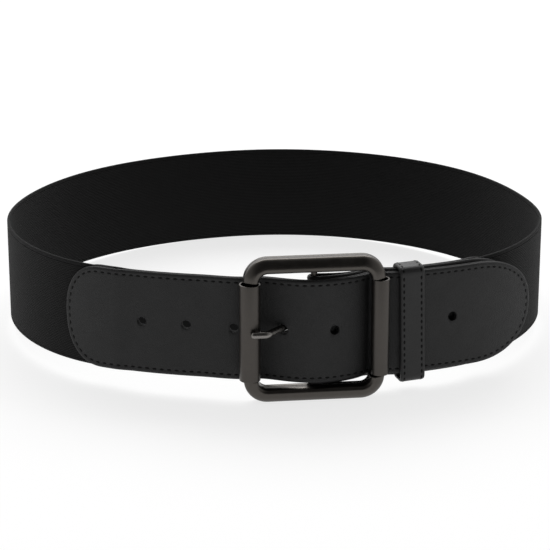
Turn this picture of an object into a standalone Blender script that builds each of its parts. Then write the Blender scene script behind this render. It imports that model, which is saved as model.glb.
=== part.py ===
"""A wide elastic waist belt, fastened: an elastic band with leather ends and a centre-bar roller buckle.

The belt is worked out standing flat on the band's lower edge, X across, Y to the back and Z up. It is then
leant on the buckle's bottom bar, which hangs a little below the band. Sizes are in metres.
"""

import math

import bmesh
import bpy
import numpy as np
from mathutils import Matrix, Vector

# The loop, measured along the middle of the band's thickness.
LOOP_WIDTH = 0.2674
LOOP_DEPTH = 0.2226
LOOP_PLAN = [
    # (across, as a share of half the width; along, as a share of the depth from front to back)
    (0.015, 1.000),
    (-0.411, 0.940),
    (-0.748, 0.800),
    (-0.956, 0.593),
    (-1.000, 0.445),
    (-0.936, 0.272),
    (-0.726, 0.110),
    (-0.374, 0.021),
    (0.037, 0.000),
    (0.374, 0.039),
    (0.726, 0.128),
    (0.930, 0.283),
    (0.997, 0.440),
    (0.954, 0.593),
    (0.767, 0.800),
    (0.434, 0.946),
]

# Clearance between pieces that touch.
GAP = 0.0003

# The elastic band, and the two plies of leather that take each of its ends.
BAND_HEIGHT = 0.050
BAND_THICKNESS = 0.0015
BAND_TUCK = 0.026
LEATHER_THICKNESS = 0.0014
PLY_EASE = 0.010
END_DEPTH = 0.0195
END_FULLNESS = 2.25

# The tail strap, measured along it from the buckle's centre bar.
TAIL_TO_LEFT_END = 0.1222
TAIL_TO_TIP = 0.1142
TIP_DEPTH = 0.034
TIP_FULLNESS = 2.2
TIP_LIFT = 0.0046
TIP_DROP = 0.0007
TIP_LIFT_LENGTH = 0.062
BUCKLE_STRAP_SETBACK = 0.0027
BUCKLE_STRAP_HEIGHT = 0.0529
BUCKLE_STRAP_MIDDLE = 0.0244
HOLE_DIAMETER = 0.0044
HOLE_HEIGHT = 0.0255
PRONG_HOLE = -0.0147
HOLES = [
    # (place, distance from the centre bar, with the tip's side positive)
    ("first", -0.0822),
    ("second", -0.0608),
    ("third", -0.0382),
    ("in_use", PRONG_HOLE),
    ("fifth", 0.0089),
    ("under_roller", 0.0332),
    ("under_keeper", 0.0507),
    ("last", 0.0686),
]

# The buckle. Span and rise are between the middles of its bars.
BAR_SPAN = 0.0590
BAR_RISE = 0.0630
BAR_WIDTH = 0.0070
BAR_DEPTH = 0.0080
BAR_EDGE = 0.0008
CORNER_RADIUS = 0.0077
PIN_DIAMETER = 0.0040
CENTRE_BAR_DIAMETER = 0.0030
CENTRE_BAR_SETBACK = 0.00255
BUCKLE_ACROSS = 0.0174
BUCKLE_LIFT = 0.0005
BUCKLE_STAND_OFF = 0.00525
BUCKLE_TOE_IN = math.radians(1.8)

# How the tail strap runs between the rollers and joins the loop on either side of them.
WAVE_REACH = 0.0250
WAVE_FULLNESS_LEFT = 0.7
WAVE_FULLNESS_RIGHT = 0.35
WAVE_SMOOTHING = 0.0012
LEFT_JOIN_LENGTH = 0.0210
RIGHT_JOIN_LENGTH = 0.0105
FOLD_CLOSING_LENGTH = 0.0225

# The loose tubes on the buckle's side pins, each pushed outwards and forwards by the strap behind it.
LEFT_ROLLER_DIAMETER = 0.0099
LEFT_ROLLER_SHIFT = 0.0007
LEFT_ROLLER_FORWARD = 0.0012
RIGHT_ROLLER_DIAMETER = 0.0084
RIGHT_ROLLER_SHIFT = 0.0013
RIGHT_ROLLER_FORWARD = 0.0002
ROLLER_WALL = 0.0006
ROLLER_END_PLAY = 0.0004

# The prong.
PRONG_DIAMETER = 0.0034
PRONG_HEIGHT = 0.0263
PRONG_EYE_WALL = 0.0013
PRONG_RISE_ANGLE = math.radians(47)
PRONG_BEND = 0.0030
PRONG_TIP_SHORT = 0.0014
PRONG_TIP_ROUND = math.radians(82)
SLOT_ROOM = 0.0006
SLOT_PAST_EYE = 0.0012

# The keeper, a leather loop that hangs on the straps.
KEEPER_WIDTH = 0.0120
KEEPER_WALL = 0.0016
KEEPER_DISTANCE = 0.0478
KEEPER_TOP_ROOM = 0.0005
KEEPER_SLACK = 0.0006
KEEPER_CORNER = 0.0024
KEEPER_ROOM = 0.0009
KEEPER_LEAN = math.radians(1.4)

# How finely round stretches are cut into flats.
BAND_STEP = 0.0042
STRAP_STEP = 0.0020
END_STEPS = 11
FIRST_END_TURN = 0.1
ROUND_SIDES = 20
PRONG_SIDES = 12
HOLE_SIDES = 14
CORNER_STEPS = 6
CROWN_STEPS = 8
PRONG_TIP_STEPS = 3
LOOP_SAMPLES = 30
SEARCH_STEP = 0.0001

# Sizes that follow from those above.
TAIL_THICKNESS = 2 * LEATHER_THICKNESS + GAP
EYE_RADIUS = CENTRE_BAR_DIAMETER / 2 + GAP + PRONG_EYE_WALL
BAR_TO_TAIL = EYE_RADIUS + GAP + TAIL_THICKNESS / 2
FOLD_RADIUS = CENTRE_BAR_DIAMETER / 2 + GAP + LEATHER_THICKNESS / 2
PLY_APART = (GAP + LEATHER_THICKNESS) / 2
PLY_APART_OVER_BAND = (BAND_THICKNESS + LEATHER_THICKNESS) / 2 + GAP
TAIL_TO_PLY = (TAIL_THICKNESS + LEATHER_THICKNESS) / 2 + GAP
TAIL_OVER_BAND = PLY_APART_OVER_BAND + TAIL_TO_PLY
WAY_LENGTH = 6 * TAIL_THICKNESS
PUNCH_LENGTH = 4 * TAIL_THICKNESS
BUCKLE_MIDDLE = BAND_HEIGHT / 2 + BUCKLE_LIFT
LEFT_ROLLER_ACROSS = -BAR_SPAN / 2 - LEFT_ROLLER_SHIFT
RIGHT_ROLLER_ACROSS = BAR_SPAN / 2 + RIGHT_ROLLER_SHIFT
SHOULDER_RISE = BAR_RISE / 2 - CORNER_RADIUS

LOOKS = {
    # name: (colour, metallic, roughness)
    "elastic": ((0.012, 0.012, 0.012), 0.0, 0.85),
    "leather": ((0.022, 0.022, 0.022), 0.0, 0.45),
    "gunmetal": ((0.085, 0.078, 0.070), 1.0, 0.38),
}


def look_of(name):
    """The material of that name, made when it is first asked for."""
    made = bpy.data.materials.get(name)
    if made:
        return made
    colour, metallic, roughness = LOOKS[name]
    made = bpy.data.materials.new(name)
    made.use_nodes = True
    shader = made.node_tree.nodes["Principled BSDF"]
    shader.inputs["Base Color"].default_value = (*colour, 1)
    shader.inputs["Metallic"].default_value = metallic
    shader.inputs["Roughness"].default_value = roughness
    return made


def mesh_object(name, points, faces, look=None, smooth=False):
    """A mesh object with its faces turned outwards. With no look it is a helper for a Boolean."""
    mesh = bpy.data.meshes.new(name)
    mesh.from_pydata([tuple(point) for point in points], [], faces)
    shape = bmesh.new()
    shape.from_mesh(mesh)
    bmesh.ops.recalc_face_normals(shape, faces=shape.faces)
    shape.to_mesh(mesh)
    shape.free()
    made = bpy.data.objects.new(name, mesh)
    bpy.context.scene.collection.objects.link(made)
    if smooth:
        mesh.shade_smooth()
        mesh.set_sharp_from_angle(angle=math.radians(40))
    if look:
        mesh.materials.append(look_of(look))
    else:
        made.hide_render = True
        made.display_type = "WIRE"
    return made


def combine(target, helper, operation):
    change = target.modifiers.new(f"{operation.lower()}_{helper.name}", "BOOLEAN")
    change.operation = operation
    change.solver = "EXACT"
    change.object = helper


def swept(rings, closed=False):
    """The points and faces of a body swept through rings that have the same number of points."""
    sides = len(rings[0])
    faces = []
    for ring in range(len(rings) if closed else len(rings) - 1):
        here = ring * sides
        ahead = (ring + 1) % len(rings) * sides
        for side in range(sides):
            turn = (side + 1) % sides
            faces.append((here + side, here + turn, ahead + turn, ahead + side))
    if not closed:
        faces.append(tuple(range(sides)))
        faces.append(tuple(range((len(rings) - 1) * sides, len(rings) * sides)))
    return [point for ring in rings for point in ring], faces


def circle(radius, sides):
    turns = [2 * math.pi * side / sides for side in range(sides)]
    return [(radius * math.cos(turn), radius * math.sin(turn)) for turn in turns]


def cylinder(name, radius, length, sides):
    """A helper cylinder about Z, centred on its origin."""
    rings = [[(x, y, end * length / 2) for x, y in circle(radius, sides)] for end in (-1, 1)]
    return mesh_object(name, *swept(rings))


def tube_rings(radius, wall, half_length):
    """The rings of a tube about Z, centred on its origin."""
    outer, inner = circle(radius, ROUND_SIDES), circle(radius - wall, ROUND_SIDES)
    levels = ((outer, -half_length), (outer, half_length), (inner, half_length), (inner, -half_length))
    return [[(x, y, height) for x, y in outline] for outline, height in levels]


def lengths(points):
    """The distance along a line of points at each of them."""
    return np.concatenate([[0.0], np.cumsum(np.linalg.norm(np.diff(points, axis=0), axis=1))])


def at(points, distances):
    """Points at the given distances along a line."""
    along = lengths(points)
    return np.stack([np.interp(distances, along, column) for column in points.T], axis=-1)


def outward(points):
    """Unit normals of a plan line that runs from left to right along the front, away from the wearer."""
    run = np.gradient(points, axis=0)
    run /= np.linalg.norm(run, axis=1)[:, None]
    return np.stack([run[:, 1], -run[:, 0]], axis=1)


def outward_at(points, distances, reach=0.0008):
    """The outward normals at distances along a line."""
    run = at(points, np.asarray(distances) + reach) - at(points, np.asarray(distances) - reach)
    run /= np.linalg.norm(run, axis=-1)[..., None]
    return np.stack([run[..., 1], -run[..., 0]], axis=-1)


def ease(share):
    """A smooth step from 0 to 1."""
    return 0.5 - 0.5 * np.cos(np.pi * np.clip(share, 0, 1))


def closed_curve(corners):
    """A closed cubic spline through plan points, as short steps in the same order."""
    count = len(corners)
    after = np.roll(corners, -1, axis=0)
    spans = np.linalg.norm(after - corners, axis=1)
    slopes = (after - corners) / spans[:, None]
    system = np.zeros((count, count))
    for row in range(count):
        system[row, row - 1] += spans[row - 1]
        system[row, row] += 2 * (spans[row - 1] + spans[row])
        system[row, (row + 1) % count] += spans[row]
    bends = np.linalg.solve(system, 6 * (slopes - np.roll(slopes, 1, axis=0)))
    points = []
    for row in range(count):
        span = spans[row]
        bend, next_bend = bends[row], bends[(row + 1) % count]
        for step in range(LOOP_SAMPLES):
            past = span * step / LOOP_SAMPLES
            left = span - past
            curved = (bend * left**3 + next_bend * past**3) / (6 * span)
            here = (corners[row] / span - bend * span / 6) * left
            there = (after[row] / span - next_bend * span / 6) * past
            points.append(curved + here + there)
    return np.array(points)


def bridge(start, start_run, end, end_run, steps=12):
    """A cubic between two plan points that leaves and arrives in the given directions."""
    reach = np.linalg.norm(end - start)
    share = np.linspace(0, 1, steps)[:, None]
    return (
        (2 * share**3 - 3 * share**2 + 1) * start
        + (share**3 - 2 * share**2 + share) * reach * start_run
        + (3 * share**2 - 2 * share**3) * end
        + (share**3 - share**2) * reach * end_run
    )


def loop_line():
    """The middle of the band, from the middle of the back round by the left, the front and the right."""
    table = np.array(LOOP_PLAN)
    corners = np.stack([table[:, 0] * LOOP_WIDTH / 2, (table[:, 1] - 0.5) * LOOP_DEPTH], axis=1)
    points = closed_curve(corners)
    return np.vstack([points, points[:1]])


class BuckleFrame:
    """The buckle's own directions in plan: across to the right and out to the viewer, from its centre bar."""

    def __init__(self, loop):
        places = np.arange(0, lengths(loop)[-1], SEARCH_STEP)
        even = at(loop, places)
        self.place = places[np.where(even[:, 1] < 0, np.abs(even[:, 0] - BUCKLE_ACROSS), np.inf).argmin()]
        normal = outward_at(loop, self.place, reach=0.002)
        heading = math.atan2(normal[0], -normal[1]) - BUCKLE_TOE_IN
        self.across = np.array([math.cos(heading), math.sin(heading)])
        self.out = np.array([math.sin(heading), -math.cos(heading)])
        self.middle = at(loop, self.place) + BUCKLE_STAND_OFF * normal

    def plan(self, across, out):
        """Plan points from distances across and out."""
        return self.middle + np.multiply.outer(across, self.across) + np.multiply.outer(out, self.out)

    def local(self, point):
        """How far across and out a plan point lies."""
        return float((point - self.middle) @ self.across), float((point - self.middle) @ self.out)

    def matrix(self, across=0.0, out=0.0, height=0.0):
        """Takes X to across, Y to inwards and Z to up, at a point of the buckle."""
        turn = Matrix(((self.across[0], -self.out[0], 0), (self.across[1], -self.out[1], 0), (0, 0, 1)))
        return Matrix.Translation((*self.plan(across, out), height)) @ turn.to_4x4()


def wave(across):
    """How far out the middle of the tail strap lies: behind each side of the buckle, and over the prong's eye."""
    to_middle = GAP + TAIL_THICKNESS / 2
    left = min(LEFT_ROLLER_FORWARD - LEFT_ROLLER_DIAMETER / 2, -BAR_DEPTH / 2) - to_middle
    right = min(RIGHT_ROLLER_FORWARD - RIGHT_ROLLER_DIAMETER / 2, -BAR_DEPTH / 2) - to_middle
    over_bar = BAR_TO_TAIL - CENTRE_BAR_SETBACK
    share = ease(1 - np.abs(across) / WAVE_REACH)
    rising = left + (over_bar - left) * share**WAVE_FULLNESS_LEFT
    falling = right + (over_bar - right) * share**WAVE_FULLNESS_RIGHT
    return np.where(across < 0, rising, falling)


def smoothed(points, reach, step=0.0003):
    """The line in short even steps, each averaged with its neighbours within reach."""
    even = at(points, np.arange(0, lengths(points)[-1], step))
    count = round(reach / step)
    weights = np.bartlett(2 * count + 3)[1:-1]
    padded = np.vstack([np.repeat(even[:1], count, axis=0), even, np.repeat(even[-1:], count, axis=0)])
    columns = [np.convolve(column, weights / weights.sum(), mode="valid") for column in padded.T]
    return np.stack(columns, axis=1)


def tail_line(loop, buckle):
    """The middle of the tail strap's two plies in plan, and the distance along it of the centre bar."""
    along = lengths(loop)
    left = loop[along < buckle.place + LEFT_ROLLER_ACROSS - LEFT_JOIN_LENGTH]
    over_band = loop + TAIL_OVER_BAND * outward(loop)
    right = over_band[along > buckle.place + RIGHT_ROLLER_ACROSS + RIGHT_JOIN_LENGTH]
    steps = np.linspace(0, 1, 41)
    across = np.concatenate([LEFT_ROLLER_ACROSS * (1 - steps), RIGHT_ROLLER_ACROSS * steps[1:]])
    middle = buckle.plan(across, wave(across))
    left_run = (left[-1] - left[-2]) / np.linalg.norm(left[-1] - left[-2])
    right_run = (right[1] - right[0]) / np.linalg.norm(right[1] - right[0])
    to_left_roller = bridge(left[-1], left_run, middle[0], buckle.across)[1:-1]
    from_right_roller = bridge(middle[-1], buckle.across, right[0], right_run)[1:-1]
    line = smoothed(np.vstack([left, to_left_roller, middle, from_right_roller, right]), WAVE_SMOOTHING)
    return line, lengths(line)[np.linalg.norm(line - buckle.middle, axis=1).argmin()]


def sections(start, end, step, datum, start_depth=0.0, end_depth=0.0):
    """Distances for a strap's sections: whole steps from the datum, and closer together along a rounded end."""
    closer = 1 - np.cos(np.linspace(FIRST_END_TURN, math.pi / 2, END_STEPS))
    first = start + (start_depth * closer if start_depth else np.zeros(1))
    last = end - (end_depth * closer[::-1] if end_depth else np.zeros(1))
    steps = np.arange(math.ceil((first[-1] - datum) / step + 0.5), math.floor((last[0] - datum) / step + 0.5))
    return np.concatenate([first, datum + step * steps, last])


def rounded_rise(distance, height, depth, fullness):
    """Half a strap's height at a distance from its rounded end."""
    inside = np.clip(1 - distance / depth, 0, 1)
    return height / 2 * (1 - inside**fullness) ** (1 / fullness)


def strap(name, middle, rise, levels, thickness, look):
    """A flat strap on its edge through plan points, with half its height and its middle's level at each."""
    rings = []
    for centre, side, half, level in zip(middle, outward(middle), rise, levels):
        outer = centre + side * thickness / 2
        inner = centre - side * thickness / 2
        low, high = level - half, level + half
        rings.append([(*outer, low), (*outer, high), (*inner, high), (*inner, low)])
    return mesh_object(name, *swept(rings), look)


def elastic_band(loop, tail, bar):
    """The band round the wearer's back, with each end tucked between two plies of leather."""
    left_end = bar - TAIL_TO_LEFT_END + BAND_TUCK
    tucked = bar + TAIL_TO_TIP - BUCKLE_STRAP_SETBACK - BAND_TUCK
    target = at(tail, tucked) - TAIL_OVER_BAND * outward_at(tail, tucked)
    right_end = lengths(loop)[np.linalg.norm(loop - target, axis=1).argmin()]
    twice = np.vstack([loop, loop[1:]])
    places = sections(right_end, lengths(loop)[-1] + left_end, BAND_STEP, right_end)
    rise = np.full(len(places), BAND_HEIGHT / 2)
    return strap("elastic_band", at(twice, places), rise, rise, BAND_THICKNESS, "elastic")


def tail_plies(tail, bar):
    """The front and back leather of the tail strap, which part to take the band's left end."""
    start, end = bar - TAIL_TO_LEFT_END, bar + TAIL_TO_TIP
    places = sections(start, end, STRAP_STEP, bar, END_DEPTH, TIP_DEPTH)
    left_rise = rounded_rise(places - start, BAND_HEIGHT, END_DEPTH, END_FULLNESS)
    rise = np.minimum(left_rise, rounded_rise(end - places, BAND_HEIGHT, TIP_DEPTH, TIP_FULLNESS))
    together = ease((places - start - BAND_TUCK) / PLY_EASE)
    apart = PLY_APART_OVER_BAND + (PLY_APART - PLY_APART_OVER_BAND) * together
    loose = np.clip(1 - (end - places) / TIP_LIFT_LENGTH, 0, 1) ** 2
    lift = TIP_LIFT * loose
    levels = BAND_HEIGHT / 2 - TIP_DROP * loose
    sides = outward_at(tail, places)
    plies = []
    for name, sign in (("tail_strap_front", 1), ("tail_strap_back", -1)):
        middle = at(tail, places) + (lift + sign * apart)[:, None] * sides
        plies.append(strap(name, middle, rise, levels, LEATHER_THICKNESS, "leather"))
    return plies


def buckle_strap(tail, bar):
    """One leather strip folded round the centre bar, with the band's right end between its plies."""
    end = bar + TAIL_TO_TIP - BUCKLE_STRAP_SETBACK
    places = sections(bar, end, STRAP_STEP, bar, end_depth=TIP_DEPTH)
    closing = ease((places - bar) / FOLD_CLOSING_LENGTH)
    parting = ease((places - (end - BAND_TUCK - PLY_EASE)) / PLY_EASE)
    to_outer = BAR_TO_TAIL - FOLD_RADIUS + (TAIL_TO_PLY - BAR_TO_TAIL + FOLD_RADIUS) * closing
    beside = TAIL_TO_PLY + 2 * PLY_APART + 2 * (PLY_APART_OVER_BAND - PLY_APART) * parting
    to_inner = BAR_TO_TAIL + FOLD_RADIUS + (beside - BAR_TO_TAIL - FOLD_RADIUS) * closing
    sides = outward_at(tail, places)
    outer = at(tail, places) - to_outer[:, None] * sides
    inner = at(tail, places) - to_inner[:, None] * sides
    centre = at(tail, bar) - BAR_TO_TAIL * sides[0]
    run = np.array([-sides[0][1], sides[0][0]])
    turns = np.linspace(0, math.pi, ROUND_SIDES // 2 + 1)[1:-1]
    fold = centre + FOLD_RADIUS * (np.cos(turns)[:, None] * sides[0] - np.sin(turns)[:, None] * run)
    rise = rounded_rise(end - places, BUCKLE_STRAP_HEIGHT, TIP_DEPTH, TIP_FULLNESS)
    middle = np.vstack([outer[::-1], fold, inner])
    rises = np.concatenate([rise[::-1], np.full(len(fold), rise[0]), rise])
    levels = np.full(len(middle), BUCKLE_STRAP_MIDDLE)
    return strap("buckle_strap", middle, rises, levels, LEATHER_THICKNESS, "leather")


def punch_holes(plies, tail, bar):
    """Round holes through both plies of the tail strap."""
    for place, distance in HOLES:
        centre = at(tail, bar + distance)
        side = outward_at(tail, bar + distance)
        punch = cylinder(f"punch_{place}", HOLE_DIAMETER / 2, PUNCH_LENGTH, HOLE_SIDES)
        lay = Vector((*side, 0)).to_track_quat("Z", "Y").to_matrix().to_4x4()
        punch.matrix_world = Matrix.Translation((*centre, HOLE_HEIGHT)) @ lay
        for ply in plies:
            combine(ply, punch, "DIFFERENCE")


def bar_section():
    """The buckle bar's outline: a round front and a flat back. First across the bar, then out to the front."""
    half, back = BAR_WIDTH / 2, -BAR_DEPTH / 2
    crown = BAR_DEPTH / 2 - half
    turns = [math.pi * step / CROWN_STEPS for step in range(CROWN_STEPS + 1)]
    front = [(half * math.cos(turn), crown + half * math.sin(turn)) for turn in turns]
    flat = [(-half, back + BAR_EDGE), (BAR_EDGE - half, back), (half - BAR_EDGE, back), (half, back + BAR_EDGE)]
    return front + flat


def half_frame(name, turn, look=None):
    """Half the buckle: a bar with both its corners, down to the shoulders over the side pins."""
    rings = []
    for corner, side in ((0, 1), (1, -1)):
        for step in range(CORNER_STEPS + 1):
            angle = math.pi / 2 * (corner + step / CORNER_STEPS)
            facing = (math.cos(angle), math.sin(angle))
            middle = (
                side * (BAR_SPAN / 2 - CORNER_RADIUS) + facing[0] * CORNER_RADIUS,
                SHOULDER_RISE + facing[1] * CORNER_RADIUS,
            )
            rings.append(
                [
                    (turn * (middle[0] + facing[0] * wide), -deep, turn * (middle[1] + facing[1] * wide))
                    for wide, deep in bar_section()
                ]
            )
    return mesh_object(name, *swept(rings), look, smooth=True)


def buckle_frame(buckle):
    """The cast frame: two C-shaped halves, the pins that join them and the centre bar, as one body."""
    frame = half_frame("buckle_frame", 1, "gunmetal")
    lower = half_frame("lower_half", -1)
    pin_length = 2 * SHOULDER_RISE + BAR_WIDTH / 2
    bars = [
        # (name, place across, place inwards, diameter, length)
        ("left_pin", -BAR_SPAN / 2, 0.0, PIN_DIAMETER, pin_length),
        ("right_pin", BAR_SPAN / 2, 0.0, PIN_DIAMETER, pin_length),
        ("centre_bar", 0.0, CENTRE_BAR_SETBACK, CENTRE_BAR_DIAMETER, BAR_RISE),
    ]
    helpers = []
    for name, across, setback, diameter, length in bars:
        helper = cylinder(name, diameter / 2, length, ROUND_SIDES)
        helper.location = (across, setback, 0)
        helpers.append(helper)
    helpers.insert(1, lower)
    for helper in helpers:
        combine(frame, helper, "UNION")
    for piece in [frame, *helpers]:
        piece.matrix_world = buckle.matrix(height=BUCKLE_MIDDLE) @ piece.matrix_basis
    return frame


def roller(name, diameter, across, forward, buckle):
    """A loose tube on a side pin, with its origin on its own axis."""
    rings = tube_rings(diameter / 2, ROLLER_WALL, SHOULDER_RISE - ROLLER_END_PLAY)
    tube = mesh_object(name, *swept(rings, closed=True), "gunmetal", smooth=True)
    tube.matrix_world = buckle.matrix(across, forward, BUCKLE_MIDDLE)
    return tube


def prong_route(tail, bar, buckle):
    """The prong's middle line across and out: behind the strap, up through its hole and onto the left roller."""
    radius = PRONG_DIAMETER / 2
    hole_across, hole_out = buckle.local(at(tail, bar + PRONG_HOLE))
    behind = -(CENTRE_BAR_SETBACK + CENTRE_BAR_DIAMETER / 2 + GAP + PRONG_EYE_WALL / 2)
    clear = LEFT_ROLLER_DIAMETER / 2 + GAP + radius
    over = LEFT_ROLLER_FORWARD + math.sqrt(clear**2 - PRONG_TIP_SHORT**2)
    slope = math.tan(PRONG_RISE_ANGLE)
    corners = [
        (-(CENTRE_BAR_DIAMETER / 2 + GAP), behind),
        (hole_across + (hole_out - behind) / slope, behind),
        (hole_across - (over - hole_out) / slope, over),
        (LEFT_ROLLER_ACROSS + PRONG_TIP_SHORT, over),
    ]
    return np.array(corners), (hole_across, hole_out)


def with_bends(corners, radius, steps=4):
    """A line through corners, with an arc at each inner one."""
    points = [corners[0]]
    for before, corner, after in zip(corners, corners[1:], corners[2:]):
        arriving = (corner - before) / np.linalg.norm(corner - before)
        leaving = (after - corner) / np.linalg.norm(after - corner)
        setback = radius * math.tan(math.acos(float(arriving @ leaving)) / 2)
        start, end = corner - arriving * setback, corner + leaving * setback
        share = np.linspace(0, 1, steps + 1)[:, None]
        points.extend((1 - share) ** 2 * start + 2 * share * (1 - share) * corner + share**2 * end)
    points.append(corners[-1])
    return np.array(points)


def prong_wire(corners):
    """The prong's round wire through its corners, with a rounded tip on the roller."""
    radius = PRONG_DIAMETER / 2
    turns = np.linspace(0, PRONG_TIP_ROUND, PRONG_TIP_STEPS + 1)[1:]
    tip = corners[-1] - radius * np.stack([np.sin(turns), np.zeros(len(turns))], axis=1)
    bent = with_bends(corners, PRONG_BEND)
    route = np.vstack([bent, tip])
    widths = np.concatenate([np.full(len(bent), radius), radius * np.cos(turns)])
    rings = []
    for centre, side, width in zip(route, outward(route), widths):
        ring = []
        for x, height in circle(width, PRONG_SIDES):
            across, out = centre + side * x
            ring.append((across, -out, height))
        rings.append(ring)
    return mesh_object("prong", *swept(rings), "gunmetal", smooth=True)


def prong(tail, bar, buckle, plies, folded):
    """The prong with its eye round the centre bar, its slot in the fold and its way through the hole in use."""
    radius = PRONG_DIAMETER / 2
    corners, hole = prong_route(tail, bar, buckle)
    made = prong_wire(corners)
    eye = mesh_object("prong_eye", *swept(tube_rings(EYE_RADIUS, PRONG_EYE_WALL, radius), closed=True))
    eye.location.y = CENTRE_BAR_SETBACK
    combine(made, eye, "UNION")

    way = cylinder("prong_way", radius + GAP, WAY_LENGTH, HOLE_SIDES)
    climb = Vector((-math.cos(PRONG_RISE_ANGLE), -math.sin(PRONG_RISE_ANGLE), 0))
    way.matrix_world = Matrix.Translation((hole[0], -hole[1], 0)) @ climb.to_track_quat("Z", "Y").to_matrix().to_4x4()
    for ply in plies:
        combine(ply, way, "DIFFERENCE")

    reach = EYE_RADIUS + SLOT_PAST_EYE
    plan = [(-reach, -reach), (reach, -reach), (reach, reach), (-reach, reach)]
    half = radius + SLOT_ROOM
    slot = mesh_object("prong_slot", *swept([[(x, y, level) for x, y in plan] for level in (-half, half)]))
    slot.location.y = CENTRE_BAR_SETBACK
    combine(folded, slot, "DIFFERENCE")
    for piece in (made, eye, way, slot):
        piece.matrix_world = buckle.matrix(height=PRONG_HEIGHT) @ piece.matrix_basis
    return made


def keeper(tail, bar):
    """A leather loop round the straps beside the buckle, hanging on their upper edges."""
    centre = at(tail, bar + KEEPER_DISTANCE)
    out = Vector((*outward_at(tail, bar + KEEPER_DISTANCE), 0))
    along = Vector((-out.y, out.x, 0))
    lean = Matrix.Rotation(KEEPER_LEAN, 3, out)
    room = KEEPER_ROOM + KEEPER_WALL / 2
    front = TAIL_THICKNESS / 2 + room
    back = -(TAIL_TO_PLY + 2 * PLY_APART + LEATHER_THICKNESS / 2 + room)
    high = BUCKLE_STRAP_MIDDLE + BUCKLE_STRAP_HEIGHT / 2 + KEEPER_TOP_ROOM + KEEPER_WALL / 2
    low = BUCKLE_STRAP_MIDDLE - BUCKLE_STRAP_HEIGHT / 2 - KEEPER_SLACK - KEEPER_WALL / 2
    radius = KEEPER_CORNER
    corners = [
        # (out, height, first angle) of each rounded corner's middle
        (front - radius, high - radius, 0),
        (back + radius, high - radius, 90),
        (back + radius, low + radius, 180),
        (front - radius, low + radius, 270),
    ]
    middle_height = BAND_HEIGHT / 2
    rings = []
    for corner_out, corner_height, first in corners:
        for step in range(CORNER_STEPS - 1):
            angle = math.radians(first + 90 * step / (CORNER_STEPS - 2))
            ring = []
            for wall, width in ((-1, -1), (1, -1), (1, 1), (-1, 1)):
                reach = radius + wall * KEEPER_WALL / 2
                place = out * (corner_out + reach * math.cos(angle))
                place = place + Vector((0, 0, corner_height + reach * math.sin(angle) - middle_height))
                place = place + along * (width * KEEPER_WIDTH / 2)
                ring.append(lean @ place + Vector((*centre, middle_height)))
            rings.append(ring)
    return mesh_object("keeper", *swept(rings, closed=True), "leather", smooth=True)


def lean_on_buckle(pieces, buckle, loop):
    """Leans the belt back until the buckle's bottom bar and the band's lower edge at the back share one floor."""
    edge = loop + BAND_THICKNESS / 2 * outward(loop)
    reach = max(-(edge - buckle.middle) @ buckle.out)
    lowest = BUCKLE_MIDDLE - (BAR_RISE + BAR_WIDTH) / 2
    feet = [(wide, deep) for wide, deep in bar_section() if wide > 0]
    lean = max(math.atan2(wide - BAR_WIDTH / 2 - lowest, reach + deep) for wide, deep in feet)
    turn = Matrix.Rotation(-lean, 4, Vector((*buckle.across, 0)))
    bpy.context.view_layer.update()
    graph = bpy.context.evaluated_depsgraph_get()
    corners = []
    for piece in pieces:
        solid = piece.evaluated_get(graph)
        corners += [turn @ solid.matrix_world @ vertex.co for vertex in solid.data.vertices]
    low = [min(corner[axis] for corner in corners) for axis in range(3)]
    high = [max(corner[axis] for corner in corners) for axis in range(3)]
    stand = bpy.data.objects.new("belt_stand", None)
    bpy.context.scene.collection.objects.link(stand)
    stand.matrix_world = Matrix.Translation((-(low[0] + high[0]) / 2, -(low[1] + high[1]) / 2, -low[2])) @ turn
    return stand


def build():
    for old in list(bpy.data.objects):
        bpy.data.objects.remove(old)
    loop = loop_line()
    buckle = BuckleFrame(loop)
    tail, bar = tail_line(loop, buckle)
    band = elastic_band(loop, tail, bar)
    plies = tail_plies(tail, bar)
    folded = buckle_strap(tail, bar)
    punch_holes(plies, tail, bar)
    frame = buckle_frame(buckle)
    left = roller("roller_left", LEFT_ROLLER_DIAMETER, LEFT_ROLLER_ACROSS, LEFT_ROLLER_FORWARD, buckle)
    right = roller("roller_right", RIGHT_ROLLER_DIAMETER, RIGHT_ROLLER_ACROSS, RIGHT_ROLLER_FORWARD, buckle)
    tongue = prong(tail, bar, buckle, plies, folded)
    loop_keeper = keeper(tail, bar)
    pieces = [band, *plies, folded, frame, left, right, tongue, loop_keeper]
    stand = lean_on_buckle(pieces, buckle, loop)
    for piece in list(bpy.data.objects):
        if piece is not stand:
            piece.parent = stand


build()
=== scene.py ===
"""A wide black elastic waist belt with leather ends, a dark gunmetal roller buckle and a keeper.

Straps are worked out standing flat, in metres, and then leant on the buckle as the solids are.
"""

import math

import bmesh
import bpy
import numpy as np
from mathutils import Matrix, Vector


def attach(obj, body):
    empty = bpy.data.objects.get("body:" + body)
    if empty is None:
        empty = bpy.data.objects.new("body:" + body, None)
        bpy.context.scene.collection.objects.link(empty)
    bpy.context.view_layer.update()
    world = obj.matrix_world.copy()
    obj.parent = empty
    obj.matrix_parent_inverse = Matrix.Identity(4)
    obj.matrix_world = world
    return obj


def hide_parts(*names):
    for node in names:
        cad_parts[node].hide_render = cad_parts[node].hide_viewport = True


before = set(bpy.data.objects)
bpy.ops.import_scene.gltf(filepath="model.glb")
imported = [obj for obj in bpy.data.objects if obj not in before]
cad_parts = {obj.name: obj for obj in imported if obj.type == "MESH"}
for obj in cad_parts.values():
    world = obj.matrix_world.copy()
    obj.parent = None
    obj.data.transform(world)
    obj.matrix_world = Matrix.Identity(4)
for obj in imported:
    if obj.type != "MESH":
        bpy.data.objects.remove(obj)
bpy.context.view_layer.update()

# The belt's sizes, as its solids have them.
LOOP_WIDTH = 0.2674
LOOP_DEPTH = 0.2226
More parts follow.
